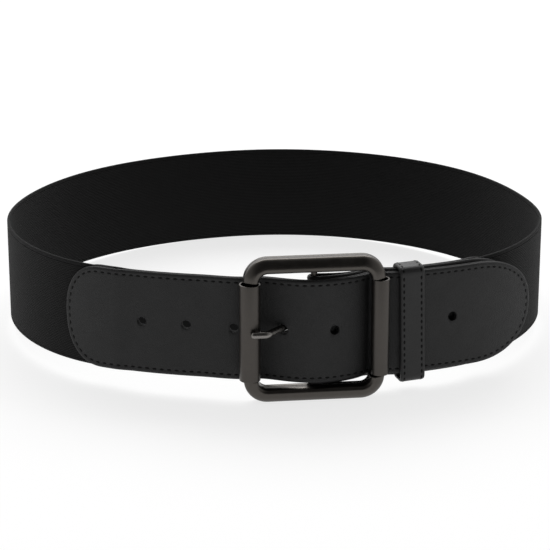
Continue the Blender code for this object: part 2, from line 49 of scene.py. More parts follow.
LOOP_PLAN = [
    # (across, as a share of half the width; along, as a share of the depth from front to back)
    (0.015, 1.000), (-0.411, 0.940), (-0.748, 0.800), (-0.956, 0.593),
    (-1.000, 0.445), (-0.936, 0.272), (-0.726, 0.110), (-0.374, 0.021),
    (0.037, 0.000), (0.374, 0.039), (0.726, 0.128), (0.930, 0.283),
    (0.997, 0.440), (0.954, 0.593), (0.767, 0.800), (0.434, 0.946),
]
GAP = 0.0003
BAND_HEIGHT = 0.050
BAND_THICKNESS = 0.0015
BAND_TUCK = 0.026
LEATHER_THICKNESS = 0.0014
PLY_EASE = 0.010
END_DEPTH = 0.0195
END_FULLNESS = 2.25
TAIL_TO_LEFT_END = 0.1222
TAIL_TO_TIP = 0.1142
TIP_DEPTH = 0.034
TIP_FULLNESS = 2.2
TIP_LIFT = 0.0046
TIP_DROP = 0.0007
TIP_LIFT_LENGTH = 0.062
BUCKLE_STRAP_SETBACK = 0.0027
BUCKLE_STRAP_HEIGHT = 0.0529
BUCKLE_STRAP_MIDDLE = 0.0244
HOLE_DIAMETER = 0.0044
HOLE_HEIGHT = 0.0255
PRONG_HOLE = -0.0147
HOLES = (-0.0822, -0.0608, -0.0382, PRONG_HOLE, 0.0089, 0.0332, 0.0507, 0.0686)
BAR_SPAN = 0.0590
BAR_RISE = 0.0630
BAR_WIDTH = 0.0070
BAR_DEPTH = 0.0080
CORNER_RADIUS = 0.0077
PIN_DIAMETER = 0.0040
CENTRE_BAR_DIAMETER = 0.0030
CENTRE_BAR_SETBACK = 0.00255
BUCKLE_ACROSS = 0.0174
BUCKLE_LIFT = 0.0005
BUCKLE_STAND_OFF = 0.00525
BUCKLE_TOE_IN = math.radians(1.8)
WAVE_REACH = 0.0250
WAVE_FULLNESS_LEFT = 0.7
WAVE_FULLNESS_RIGHT = 0.35
WAVE_SMOOTHING = 0.0012
LEFT_JOIN_LENGTH = 0.0210
RIGHT_JOIN_LENGTH = 0.0105
FOLD_CLOSING_LENGTH = 0.0225
LEFT_ROLLER_DIAMETER = 0.0099
LEFT_ROLLER_SHIFT = 0.0007
LEFT_ROLLER_FORWARD = 0.0012
RIGHT_ROLLER_DIAMETER = 0.0084
RIGHT_ROLLER_SHIFT = 0.0013
RIGHT_ROLLER_FORWARD = 0.0002
ROLLER_WALL = 0.0006
ROLLER_END_PLAY = 0.0004
PRONG_DIAMETER = 0.0034
PRONG_HEIGHT = 0.0263
PRONG_EYE_WALL = 0.0013
PRONG_RISE_ANGLE = math.radians(47)
PRONG_BEND = 0.0030
PRONG_TIP_SHORT = 0.0014
SLOT_ROOM = 0.0006
SLOT_PAST_EYE = 0.0012
KEEPER_WIDTH = 0.0120
KEEPER_WALL = 0.0016
KEEPER_DISTANCE = 0.0478
KEEPER_TOP_ROOM = 0.0005
KEEPER_SLACK = 0.0006
KEEPER_CORNER = 0.0024
KEEPER_ROOM = 0.0009
KEEPER_LEAN = math.radians(1.4)

# Where the belt stands: how far it leans back on the buckle, and the place of its own origin.
STAND = Matrix(
    (
        (0.99998695, 0.00010673, -0.00509329, 0.00032905),
        (0.00010673, 0.99912214, 0.04189242, 0.00644697),
        (0.00509329, -0.04189242, 0.99910915, 0.00471470),
        (0.0, 0.0, 0.0, 1.0),
    )
)

# Sizes that follow from those above.
TAIL_THICKNESS = 2 * LEATHER_THICKNESS + GAP
EYE_RADIUS = CENTRE_BAR_DIAMETER / 2 + GAP + PRONG_EYE_WALL
BAR_TO_TAIL = EYE_RADIUS + GAP + TAIL_THICKNESS / 2
FOLD_RADIUS = CENTRE_BAR_DIAMETER / 2 + GAP + LEATHER_THICKNESS / 2
PLY_APART = (GAP + LEATHER_THICKNESS) / 2
PLY_APART_OVER_BAND = (BAND_THICKNESS + LEATHER_THICKNESS) / 2 + GAP
TAIL_TO_PLY = (TAIL_THICKNESS + LEATHER_THICKNESS) / 2 + GAP
TAIL_OVER_BAND = PLY_APART_OVER_BAND + TAIL_TO_PLY
BUCKLE_MIDDLE = BAND_HEIGHT / 2 + BUCKLE_LIFT
LEFT_ROLLER_ACROSS = -BAR_SPAN / 2 - LEFT_ROLLER_SHIFT
RIGHT_ROLLER_ACROSS = BAR_SPAN / 2 + RIGHT_ROLLER_SHIFT
SHOULDER_RISE = BAR_RISE / 2 - CORNER_RADIUS

# The looks of the leather's face: a rounded edge, a puffed margin and a sewn channel.
EDGE_REACH = 0.0012
EDGE_FALL = 0.0008
PLAIN_EDGE_REACH = 0.0003
PLAIN_EDGE_FALL = 0.00025
GROOVE_DEPTH = 0.00005
MARGIN_PUFF = 0.00006
MARGIN_MIDDLE = 0.55
SEAM_SPREAD = 0.0006
STITCH_INSET = 0.00235
STITCH_PITCH = 0.0036
STITCH_LENGTH = 0.0023
STITCH_WIDTH = 0.0011
STITCH_HEIGHT = 0.0005
STITCH_SINK = 0.0001
KEEPER_STITCH_INSET = 0.0017
KEEPER_STITCH_PITCH = 0.0031
KEEPER_STITCH_LENGTH = 0.0021
KEEPER_GROOVE_DEPTH = 0.00004
KEEPER_MARGIN_PUFF = 0.00003
CROSS_SEAM_FROM_FOLD = 0.0135
CROSS_SEAM_ROOM = 0.012
CROSS_SEAM_SHORT = 0.007
HOLE_LIP = 0.00035
HOLE_LIP_TURN = 1.45
HOLE_FLARE = 0.0006
HOLE_FLARE_RISE = 0.0004
PUNCH_PAST_FACE = 0.002

# The looks of the band's edges and of the metal.
BAND_EDGE_REACH = 0.0007
BAND_EDGE_FALL = 0.0006
SELVAGE_INSET = 0.0017
SELVAGE_DEPTH = 0.00018
SELVAGE_SPREAD = 0.00014
BAR_SLOPE = 0.38
BAR_SQUARING = 0.85
BAR_BACK_EDGE = 0.0009
PARTING_LINE = -0.0017
PARTING_HALF = 0.0003
PARTING_DENT = 0.00012
SHOULDER_SOFT = 0.0004
ROLLER_LIP = 0.0003
ROLLER_LIP_DEPTH = 0.0007
ROLLER_LIP_END = 0.0013
ROLLER_EDGE = 0.00022
PRONG_EYE_SOFT = 0.0003

# How finely the strips are drawn, in metres, with their rows in millimetres in from the edge.
LEATHER_COLUMN = 0.0012
BAND_COLUMN = 0.002
FOLD_FINE_REACH = 0.008
FOLD_FINE_BEFORE = 0.004
FOLD_FINE_AFTER = 0.013
RUN_REACH = 0.0008
BEND_REACH = 0.0004
MERGE_REACH = 1e-6
RIM_STEPS = [0.0, 0.03, 0.1, 0.22, 0.4, 0.65, 0.95, 1.3, 1.65, 1.9, 2.1, 2.35, 2.6, 2.85, 3.2, 3.8]
KEEPER_RIM_STEPS = [0.0, 0.03, 0.1, 0.22, 0.4, 0.65, 0.95, 1.25, 1.45, 1.7, 1.95, 2.2, 2.6, 3.2]
BAND_RIM_STEPS = [0.0, 0.03, 0.1, 0.2, 0.35, 0.55, 0.8, 1.2, 1.5, 1.62, 1.7, 1.78, 1.9, 2.2, 3.0]


# Plan lines and the buckle's place


def lengths(points):
    return np.concatenate([[0.0], np.cumsum(np.linalg.norm(np.diff(points, axis=0), axis=1))])


def at(points, distances):
    along = lengths(points)
    return np.stack([np.interp(distances, along, column) for column in points.T], axis=-1)


def beside(run):
    """Unit directions a quarter turn to the right of each run."""
    run = run / np.linalg.norm(run, axis=-1)[..., None]
    return np.stack([run[..., 1], -run[..., 0]], axis=-1)


def outward(points):
    return beside(np.gradient(points, axis=0))


def outward_at(points, distances, reach=RUN_REACH):
    distances = np.asarray(distances)
    return beside(at(points, distances + reach) - at(points, distances - reach))


def ease(share):
    return 0.5 - 0.5 * np.cos(np.pi * np.clip(share, 0, 1))


def closed_curve(corners, samples=30):
    """A closed cubic spline through plan points."""
    count = len(corners)
    after = np.roll(corners, -1, axis=0)
    spans = np.linalg.norm(after - corners, axis=1)
    slopes = (after - corners) / spans[:, None]
    system = np.zeros((count, count))
    for row in range(count):
        system[row, row - 1] += spans[row - 1]
        system[row, row] += 2 * (spans[row - 1] + spans[row])
        system[row, (row + 1) % count] += spans[row]
    bends = np.linalg.solve(system, 6 * (slopes - np.roll(slopes, 1, axis=0)))
    points = []
    for row in range(count):
        span = spans[row]
        bend, next_bend = bends[row], bends[(row + 1) % count]
        for step in range(samples):
            past = span * step / samples
            left = span - past
            curved = (bend * left**3 + next_bend * past**3) / (6 * span)
            here = (corners[row] / span - bend * span / 6) * left
            there = (after[row] / span - next_bend * span / 6) * past
            points.append(curved + here + there)
    return np.array(points)


def bridge(start, start_run, end, end_run, steps=12):
    reach = np.linalg.norm(end - start)
    share = np.linspace(0, 1, steps)[:, None]
    return (
        (2 * share**3 - 3 * share**2 + 1) * start
        + (share**3 - 2 * share**2 + share) * reach * start_run
        + (3 * share**2 - 2 * share**3) * end
        + (share**3 - share**2) * reach * end_run
    )


def loop_line():
    table = np.array(LOOP_PLAN)
    corners = np.stack([table[:, 0] * LOOP_WIDTH / 2, (table[:, 1] - 0.5) * LOOP_DEPTH], axis=1)
    points = closed_curve(corners)
    return np.vstack([points, points[:1]])


class BuckleFrame:
    """The buckle's own directions in plan: across to the right and out to the viewer."""

    def __init__(self, loop):
        places = np.arange(0, lengths(loop)[-1], 0.0001)
        even = at(loop, places)
        self.place = places[np.where(even[:, 1] < 0, np.abs(even[:, 0] - BUCKLE_ACROSS), np.inf).argmin()]
        normal = outward_at(loop, self.place, reach=0.002)
        heading = math.atan2(normal[0], -normal[1]) - BUCKLE_TOE_IN
        self.across = np.array([math.cos(heading), math.sin(heading)])
        self.out = np.array([math.sin(heading), -math.cos(heading)])
        self.middle = at(loop, self.place) + BUCKLE_STAND_OFF * normal

    def plan(self, across, out):
        return self.middle + np.multiply.outer(across, self.across) + np.multiply.outer(out, self.out)

    def local(self, point):
        return float((point - self.middle) @ self.across), float((point - self.middle) @ self.out)

    def matrix(self, across=0.0, out=0.0, height=0.0):
        turn = Matrix(((self.across[0], -self.out[0], 0), (self.across[1], -self.out[1], 0), (0, 0, 1)))
        return Matrix.Translation((*self.plan(across, out), height)) @ turn.to_4x4()


def wave(across):
    """How far out the middle of the tail strap lies as it passes through the buckle."""
    to_middle = GAP + TAIL_THICKNESS / 2
    left = min(LEFT_ROLLER_FORWARD - LEFT_ROLLER_DIAMETER / 2, -BAR_DEPTH / 2) - to_middle
    right = min(RIGHT_ROLLER_FORWARD - RIGHT_ROLLER_DIAMETER / 2, -BAR_DEPTH / 2) - to_middle
    over_bar = BAR_TO_TAIL - CENTRE_BAR_SETBACK
    share = ease(1 - np.abs(across) / WAVE_REACH)
    rising = left + (over_bar - left) * share**WAVE_FULLNESS_LEFT
    falling = right + (over_bar - right) * share**WAVE_FULLNESS_RIGHT
    return np.where(across < 0, rising, falling)


def smoothed(points, reach, step=0.0003):
    even = at(points, np.arange(0, lengths(points)[-1], step))
    count = round(reach / step)
    weights = np.bartlett(2 * count + 3)[1:-1]
    padded = np.vstack([np.repeat(even[:1], count, axis=0), even, np.repeat(even[-1:], count, axis=0)])
    columns = [np.convolve(column, weights / weights.sum(), mode="valid") for column in padded.T]
    return np.stack(columns, axis=1)


def tail_line(loop, buckle):
    """The middle of the tail strap in plan, and the distance along it of the centre bar."""
    along = lengths(loop)
    left = loop[along < buckle.place + LEFT_ROLLER_ACROSS - LEFT_JOIN_LENGTH]
    over_band = loop + TAIL_OVER_BAND * outward(loop)
    right = over_band[along > buckle.place + RIGHT_ROLLER_ACROSS + RIGHT_JOIN_LENGTH]
    steps = np.linspace(0, 1, 41)
    across = np.concatenate([LEFT_ROLLER_ACROSS * (1 - steps), RIGHT_ROLLER_ACROSS * steps[1:]])
    middle = buckle.plan(across, wave(across))
    left_run = (left[-1] - left[-2]) / np.linalg.norm(left[-1] - left[-2])
    right_run = (right[1] - right[0]) / np.linalg.norm(right[1] - right[0])
    to_left_roller = bridge(left[-1], left_run, middle[0], buckle.across)[1:-1]
    from_right_roller = bridge(middle[-1], buckle.across, right[0], right_run)[1:-1]
    line = smoothed(np.vstack([left, to_left_roller, middle, from_right_roller, right]), WAVE_SMOOTHING)
    return line, lengths(line)[np.linalg.norm(line - buckle.middle, axis=1).argmin()]


def rounded_rise(distance, height, depth, fullness):
    inside = np.clip(1 - np.asarray(distance) / depth, 0, 1)
    return height / 2 * (1 - inside**fullness) ** (1 / fullness)


LOOP = loop_line()
BUCKLE = BuckleFrame(LOOP)
TAIL, BAR = tail_line(LOOP, BUCKLE)
TAIL_START, TAIL_END = BAR - TAIL_TO_LEFT_END, BAR + TAIL_TO_TIP


# Meshes


def finished(name, mesh, body, material, node=None, sharp=35):
    """Stands the mesh with the belt, gives it its material and lets it ride."""
    mesh.transform(STAND)
    made = bpy.data.objects.new(name, mesh)
    bpy.context.scene.collection.objects.link(made)
    mesh.shade_smooth()
    mesh.set_sharp_from_angle(angle=math.radians(sharp))
    mesh.materials.clear()
    mesh.materials.append(material)
    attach(made, body)
    if node:
        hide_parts(node)
    return made


def mesh_of(name, points, faces, uv=None, rim=None):
    mesh = bpy.data.meshes.new(name)
    mesh.from_pydata([tuple(map(float, point)) for point in points], [], faces)
    if uv is not None:
        layer = mesh.uv_layers.new(name="strap")
        corners = np.empty(len(mesh.loops), np.int32)
        mesh.loops.foreach_get("vertex_index", corners)
        layer.data.foreach_set("uv", np.asarray(uv, np.float32)[corners].ravel())
    if rim is not None:
        mesh.attributes.new("rim", "FLOAT", "POINT").data.foreach_set("value", np.asarray(rim, np.float32))
    shape = bmesh.new()
    shape.from_mesh(mesh)
    bmesh.ops.remove_doubles(shape, verts=shape.verts, dist=MERGE_REACH)
    bmesh.ops.recalc_face_normals(shape, faces=shape.faces)
    shape.to_mesh(mesh)
    shape.free()
    return mesh


def helper_of(mesh, matrix=None):
    made = bpy.data.objects.new(mesh.name, mesh)
    bpy.context.scene.collection.objects.link(made)
    if matrix is not None:
        made.matrix_world = matrix
    return made


def cut_mesh(mesh, cutters, operation="DIFFERENCE"):
    """The mesh with every helper taken out of it, or joined to it."""
    target = helper_of(mesh)
    for cutter in cutters:
        change = target.modifiers.new(cutter.name, "BOOLEAN")
        change.operation = operation
        change.solver = "EXACT"
        change.object = cutter
    bpy.context.view_layer.update()
    graph = bpy.context.evaluated_depsgraph_get()
    shown = target.evaluated_get(graph)
    result = bpy.data.meshes.new_from_object(shown, preserve_all_data_layers=True, depsgraph=graph)
    bpy.data.objects.remove(target)
    return result


def discard(helpers):
    for helper in helpers:
        bpy.data.objects.remove(helper)


def grid_faces(columns, rows, around=True, along=True):
    """Quads between points stored column by column, closed round each column and along them."""
    faces = []
    for column in range(columns if along else columns - 1):
        here, ahead = column * rows, (column + 1) % columns * rows
        for row in range(rows if around else rows - 1):
            turn = (row + 1) % rows
            faces.append((here + row, here + turn, ahead + turn, ahead + row))
    return faces


def lathe(name, profile, sides=48, closed=False):
    """A body turned about Z from (radius, height) points."""
    turns = np.linspace(0, 2 * math.pi, sides, endpoint=False)
    points = [(r * math.cos(t), r * math.sin(t), z) for t in turns for r, z in profile]
    return mesh_of(name, points, grid_faces(sides, len(profile), around=closed))


def ring_sweep(name, rings):
    count, sides = len(rings), len(rings[0])
    faces = grid_faces(count, sides, along=False)
    faces += [tuple(range(sides)), tuple(range((count - 1) * sides, count * sides))]
    return mesh_of(name, [point for ring in rings for point in ring], faces)


def strip_mesh(name, place_of, along, rise, rim_steps, fair, plain, middle_rows=8, closed=False):
    """A strip of material laid on its edge: rims that follow its outline, and rows between them.

    place_of takes (distance, height, proud) arrays to points. fair and plain take the distance from the
    outline to how proud each face stands.
    """
    run = np.stack([np.gradient(along), np.gradient(rise)], axis=1)
    if not closed:
        for end in (0, -1):
            if rise[end] < 1e-5:
                run[end] = (0.0, 1.0 if end == 0 else -1.0)
    depth = np.array(rim_steps) / 1000
    upper = np.stack([along, rise], axis=1)[:, None] + beside(run)[:, None] * depth[None, :, None]
    upper[..., 1] = np.maximum(upper[..., 1], 0)
    inner = upper[:, -1]
    shares = np.linspace(1, -1, middle_rows + 1)[1:-1]
    middle = np.stack([np.repeat(inner[:, :1], len(shares), 1), inner[:, 1:] * shares], axis=2)
    lower = upper[:, ::-1] * np.array([1, -1])
    face = np.concatenate([upper, middle, lower], axis=1)
    away = np.concatenate([depth, np.full(len(shares), depth[-1] + 0.001), depth[::-1]])
    flat = np.concatenate([face, face[:, ::-1]], axis=1)
    proud = np.concatenate([fair(away), plain(away[::-1])])
    points = place_of(flat[..., 0], flat[..., 1], np.broadcast_to(proud, flat.shape[:2]))
    columns, rows = flat.shape[:2]
    faces = grid_faces(columns, rows, along=closed)
    if not closed:
        for column, end in ((0, rise[0]), (columns - 1, rise[-1])):
            if end > 1e-5:
                faces.append(tuple(range(column * rows, (column + 1) * rows)))
    rim = np.broadcast_to(np.concatenate([away, away[::-1]]), (columns, rows))
    return mesh_of(name, points.reshape(-1, 3), faces, flat.reshape(-1, 2), rim.ravel())


def rounded_edge(away, reach, fall):
    """How far a rounded edge falls back, by the distance in from the outline."""
    return fall * (1 - np.sqrt(1 - np.clip(1 - away / reach, 0, 1) ** 2))


def leather_fair(thickness, side, stitch_inset=STITCH_INSET, groove=GROOVE_DEPTH, puff=MARGIN_PUFF):
    """The good face: rounded edge, puffed margin, channel under the stitches."""

    def proud(away):
        channel = groove * np.exp(-(((away - stitch_inset) / SEAM_SPREAD) ** 2))
        margin = puff * np.exp(-(((away - stitch_inset * MARGIN_MIDDLE) / SEAM_SPREAD) ** 2))
        return side * (thickness / 2 - rounded_edge(away, EDGE_REACH, EDGE_FALL) - channel + margin)

    return proud


def leather_plain(thickness, side):
    return lambda away: side * (thickness / 2 - rounded_edge(away, PLAIN_EDGE_REACH, PLAIN_EDGE_FALL))


def upright(line, middle, reach):
    """Where points lie on a strip that stands on a plan line, by distance, height and stand."""

    def place(distance, height, stand):
        plan = at(line, distance) + outward_at(line, distance, reach) * stand[..., None]
        return np.concatenate([plan, (middle + height)[..., None]], axis=-1)

    return place


def rounded_ends(start, end, start_depth, end_depth):
    """Distances along a strip, fine at its rounded ends."""
    fine = 1 - np.cos(np.linspace(0, math.pi / 2, 30))
    head = start + start_depth * fine
    foot = end - end_depth * fine[::-1]
    count = round((foot[0] - head[-1]) / LEATHER_COLUMN)
    return np.concatenate([head, np.linspace(head[-1], foot[0], count + 1)[1:-1], foot])


def tip_looseness(distance):
    """How far the tail's tip has come away from the straps under it."""
    return np.clip(1 - (TAIL_END - distance) / TIP_LIFT_LENGTH, 0, 1) ** 2


def tail_place(middle_of):
    """Takes a ply's distances and heights to places on the tail strap."""

    def place(distance, height, proud):
        sides = outward_at(TAIL, distance)
        plan = at(TAIL, distance) + sides * (middle_of(distance) + proud)[..., None]
        level = BAND_HEIGHT / 2 - TIP_DROP * tip_looseness(distance) + height
        return np.concatenate([plan, level[..., None]], axis=-1)

    return place


def tail_ply_middle(sign):
    def middle(distance):
        together = ease((distance - TAIL_START - BAND_TUCK) / PLY_EASE)
        apart = PLY_APART_OVER_BAND + (PLY_APART - PLY_APART_OVER_BAND) * together
        return TIP_LIFT * tip_looseness(distance) + sign * apart

    return middle


def hole_punch(name, distance):
    """A round punch with softly rolled lips at both faces of the tail strap."""
    radius, half = HOLE_DIAMETER / 2, TAIL_THICKNESS / 2
    bends = np.linspace(0, HOLE_LIP_TURN, 6)
    lip = [(radius + HOLE_LIP * (1 - math.cos(a)), half - HOLE_LIP * (1 - math.sin(a))) for a in bends]
    side = lip + [(radius + HOLE_FLARE, half + past) for past in (HOLE_FLARE_RISE, PUNCH_PAST_FACE)]
    profile = [(0, side[-1][1]), *side[::-1], *[(r, -z) for r, z in side], (0, -side[-1][1])]
    lay = Vector((*outward_at(TAIL, distance), 0)).to_track_quat("Z", "Y").to_matrix().to_4x4()
    lift = tail_ply_middle(0)(np.array(distance))
    centre = at(TAIL, distance) + lift * outward_at(TAIL, distance)
    return helper_of(lathe(name, profile, 32), Matrix.Translation((*centre, HOLE_HEIGHT)) @ lay)


def mark_punched(mesh):
    """Gives the walls of the holes their own value, which the leather reads to darken them as painted shade
    and to roughen them.
    """
    middles, facings = np.empty(3 * len(mesh.polygons)), np.empty(3 * len(mesh.polygons))
    mesh.polygons.foreach_get("center", middles)
    mesh.polygons.foreach_get("normal", facings)
    raw = np.zeros(len(mesh.polygons), bool)
    for distance in HOLES:
        axis = np.array([*outward_at(TAIL, BAR + distance), 0.0])
        away = middles.reshape(-1, 3) - [*at(TAIL, BAR + distance), HOLE_HEIGHT]
        from_axis = np.linalg.norm(away - np.outer(away @ axis, axis), axis=1)
        raw |= (from_axis < HOLE_DIAMETER / 2 + GAP) & (np.abs(facings.reshape(-1, 3) @ axis) < 0.5)
    mesh.attributes.new("punched", "FLOAT", "FACE").data.foreach_set("value", raw.astype(np.float32))


def prong_route():
    radius = PRONG_DIAMETER / 2
    hole_across, hole_out = BUCKLE.local(at(TAIL, BAR + PRONG_HOLE))
    behind = -(CENTRE_BAR_SETBACK + CENTRE_BAR_DIAMETER / 2 + GAP + PRONG_EYE_WALL / 2)
    clear = LEFT_ROLLER_DIAMETER / 2 + GAP + radius
    over = LEFT_ROLLER_FORWARD + math.sqrt(clear**2 - PRONG_TIP_SHORT**2)
    slope = math.tan(PRONG_RISE_ANGLE)
    corners = [
        (-(CENTRE_BAR_DIAMETER / 2 + GAP), behind),
        (hole_across + (hole_out - behind) / slope, behind),
        (hole_across - (over - hole_out) / slope, over),
        (LEFT_ROLLER_ACROSS + PRONG_TIP_SHORT, over),
    ]
    return np.array(corners), (hole_across, hole_out)


def with_bends(corners, radius, steps=10):
    points = [corners[0]]
    for before, corner, after in zip(corners, corners[1:], corners[2:]):
        arriving = (corner - before) / np.linalg.norm(corner - before)
        leaving = (after - corner) / np.linalg.norm(after - corner)
        setback = radius * math.tan(math.acos(float(arriving @ leaving)) / 2)
        start, end = corner - arriving * setback, corner + leaving * setback
        share = np.linspace(0, 1, steps + 1)[:, None]
        points.extend((1 - share) ** 2 * start + 2 * share * (1 - share) * corner + share**2 * end)
    points.append(corners[-1])
    return np.array(points)


PRONG_CORNERS, IN_USE = prong_route()


def prong_way():
    climb = Vector((-math.cos(PRONG_RISE_ANGLE), -math.sin(PRONG_RISE_ANGLE), 0))
    lay = Matrix.Translation((IN_USE[0], -IN_USE[1], 0)) @ climb.to_track_quat("Z", "Y").to_matrix().to_4x4()
    radius, half = PRONG_DIAMETER / 2 + GAP, 3 * TAIL_THICKNESS
    way = lathe("prong_way", [(0, half), (radius, half), (radius, -half), (0, -half)], 32)
    return helper_of(way, BUCKLE.matrix(height=PRONG_HEIGHT) @ lay)


# Materials


class Nodes:
    """Short calls for adding and linking the nodes of one tree."""

    def __init__(self, tree):
        self.tree = tree

    def feed(self, node, values):
        for name, value in values.items():
            if isinstance(value, bpy.types.NodeSocket):
                self.tree.links.new(value, node.inputs[name])
            else:
                node.inputs[name].default_value = value

    def add(self, kind, values=None, **settings):
        node = self.tree.nodes.new(kind)
        for name, value in settings.items():
            setattr(node, name, value)
        self.feed(node, values or {})
        return node

    def math(self, operation, *values):
        return self.add("ShaderNodeMath", dict(enumerate(values)), operation=operation).outputs[0]

    def spread(self, value, low, high, to_low, to_high, smooth=False):
        ends = {"Value": value, "From Min": low, "From Max": high, "To Min": to_low, "To Max": to_high}
        kind = "SMOOTHSTEP" if smooth else "LINEAR"
        return self.add("ShaderNodeMapRange", ends, interpolation_type=kind).outputs["Result"]

    def noise(self, place, scale, detail, kind="Fac"):
        values = {"Vector": place, "Scale": scale, "Detail": detail}
        return self.add("ShaderNodeTexNoise", values).outputs[kind]

    def blend(self, share, first, second):
        """A colour between two others."""
        mixed = self.add("ShaderNodeMix", {"Factor": share, "A": first, "B": second}, data_type="RGBA")
        return [socket for socket in mixed.outputs if socket.type == "RGBA"][0]

    def relief(self, height, strength, distance):
        values = {"Height": height, "Strength": strength, "Distance": distance}
        return self.add("ShaderNodeBump", values).outputs["Normal"]

    def attribute(self, name):
        return self.add("ShaderNodeAttribute", attribute_name=name).outputs["Fac"]

    def millimetres(self):
        """Object coordinates in millimetres."""
        place = self.add("ShaderNodeTexCoord").outputs["Object"]
        return self.add("ShaderNodeVectorMath", {0: place, "Scale": 1000}, operation="SCALE").outputs[0]


def new_group(name, given, sent, kind="ShaderNodeTree"):
    """A node group with the sockets named, its nodes, what it is given and where it sends."""
    tree = bpy.data.node_groups.new(name, kind)
    for side, sockets in (("INPUT", given), ("OUTPUT", sent)):
        for title, value in sockets.items():
            tree.interface.new_socket(name=title, in_out=side, socket_type="NodeSocket" + value)
    return tree, Nodes(tree), tree.nodes.new("NodeGroupInput").outputs, tree.nodes.new("NodeGroupOutput")


def leather_grain_group():
    """Fine pebbled grain with pores: a height, a mask of the hollows and a broad mottle."""
    takes = {"Place": "Vector", "Pebble size": "Float", "Creasing": "Float"}
    gives = {"Height": "Float", "Hollows": "Float", "Mottle": "Float"}
    tree, nodes, given, sent = new_group("leather_grain", takes, gives)
    drift = nodes.noise(given["Place"], 0.9, 3.0, "Color")
    shift = {0: drift, 1: (0.35, 0.35, 0.35), 2: given["Place"]}
    bent = nodes.add("ShaderNodeVectorMath", shift, operation="MULTIPLY_ADD").outputs[0]
    density = nodes.math("DIVIDE", 1.0, given["Pebble size"])
    cells = nodes.add("ShaderNodeTexVoronoi", {"Vector": bent, "Scale": density}, feature="DISTANCE_TO_EDGE")
    pebble = nodes.spread(cells.outputs["Distance"], 0.0, 0.32, 0.0, 1.0, smooth=True)
    fine = nodes.noise(given["Place"], 5.5, 4.0)
    height = nodes.math("MULTIPLY_ADD", fine, given["Creasing"], pebble)
    hollows = nodes.math("SUBTRACT", 1.0, pebble)
    mottle = nodes.noise(given["Place"], 0.11, 4.0)
    nodes.feed(sent, {"Height": height, "Hollows": hollows, "Mottle": mottle})
    return tree


def satin_group():
    """The fine tooth of a plated casting: a height and a cloudiness."""
    gives = {"Height": "Float", "Cloud": "Float"}
    tree, nodes, given, sent = new_group("satin_plating", {"Place": "Vector"}, gives)
    tooth, cloud = nodes.noise(given["Place"], 7.0, 3.0), nodes.noise(given["Place"], 0.35, 5.0)
    nodes.feed(sent, {"Height": tooth, "Cloud": cloud})
    return tree


GRAIN = leather_grain_group()
SATIN = satin_group()
PEBBLE_SIZE = 0.55
PEBBLE_CREASING = 0.25
RIB_PITCH = 0.86
THREAD_PITCH = 1.1
SELVAGE_PITCH = 0.55


def grey(tone, blue=0.0):
    return (tone, tone, tone + blue, 1)


def new_material(name):
    made = bpy.data.materials.new(name)
    made.use_nodes = True
    return made, Nodes(made.node_tree), made.node_tree.nodes["Principled BSDF"]


def leather_material(name, dark, light, rough_low, rough_high, bump):
    """Grained leather: rims lightened as a painted highlight, punched hole walls rougher and darkened as
    painted shade.
    """
    made, nodes, shader = new_material(name)
    values = {"Place": nodes.millimetres(), "Pebble size": PEBBLE_SIZE, "Creasing": PEBBLE_CREASING}
    grain = nodes.add("ShaderNodeGroup", values, node_tree=GRAIN).outputs
    # The rim mask lightens the colour near the rounded edges as a painted highlight, and also makes them a
    # little rougher.
    edge = nodes.spread(nodes.attribute("rim"), 0.0003, 0.0022, 1.0, 0.0, smooth=True)
    punched = nodes.attribute("punched")
    # Painted shade: the punched hole walls are taken down to the darkest leather tone.
    tone = nodes.math("SUBTRACT", nodes.math("MULTIPLY_ADD", edge, 0.2, grain["Mottle"]), punched)
    rough = nodes.spread(grain["Hollows"], 0.0, 1.0, rough_low, rough_high)
    rough = nodes.math("MULTIPLY_ADD", edge, 0.12, rough)
    looks = {
        "Base Color": nodes.blend(tone, grey(dark, 0.0002), grey(light, 0.0002)),
        "Roughness": nodes.math("MULTIPLY_ADD", punched, 0.4, rough),
        "Specular IOR Level": 0.36,
        "Normal": nodes.relief(grain["Height"], bump, 0.0001),
    }
    nodes.feed(shader, looks)
    return made


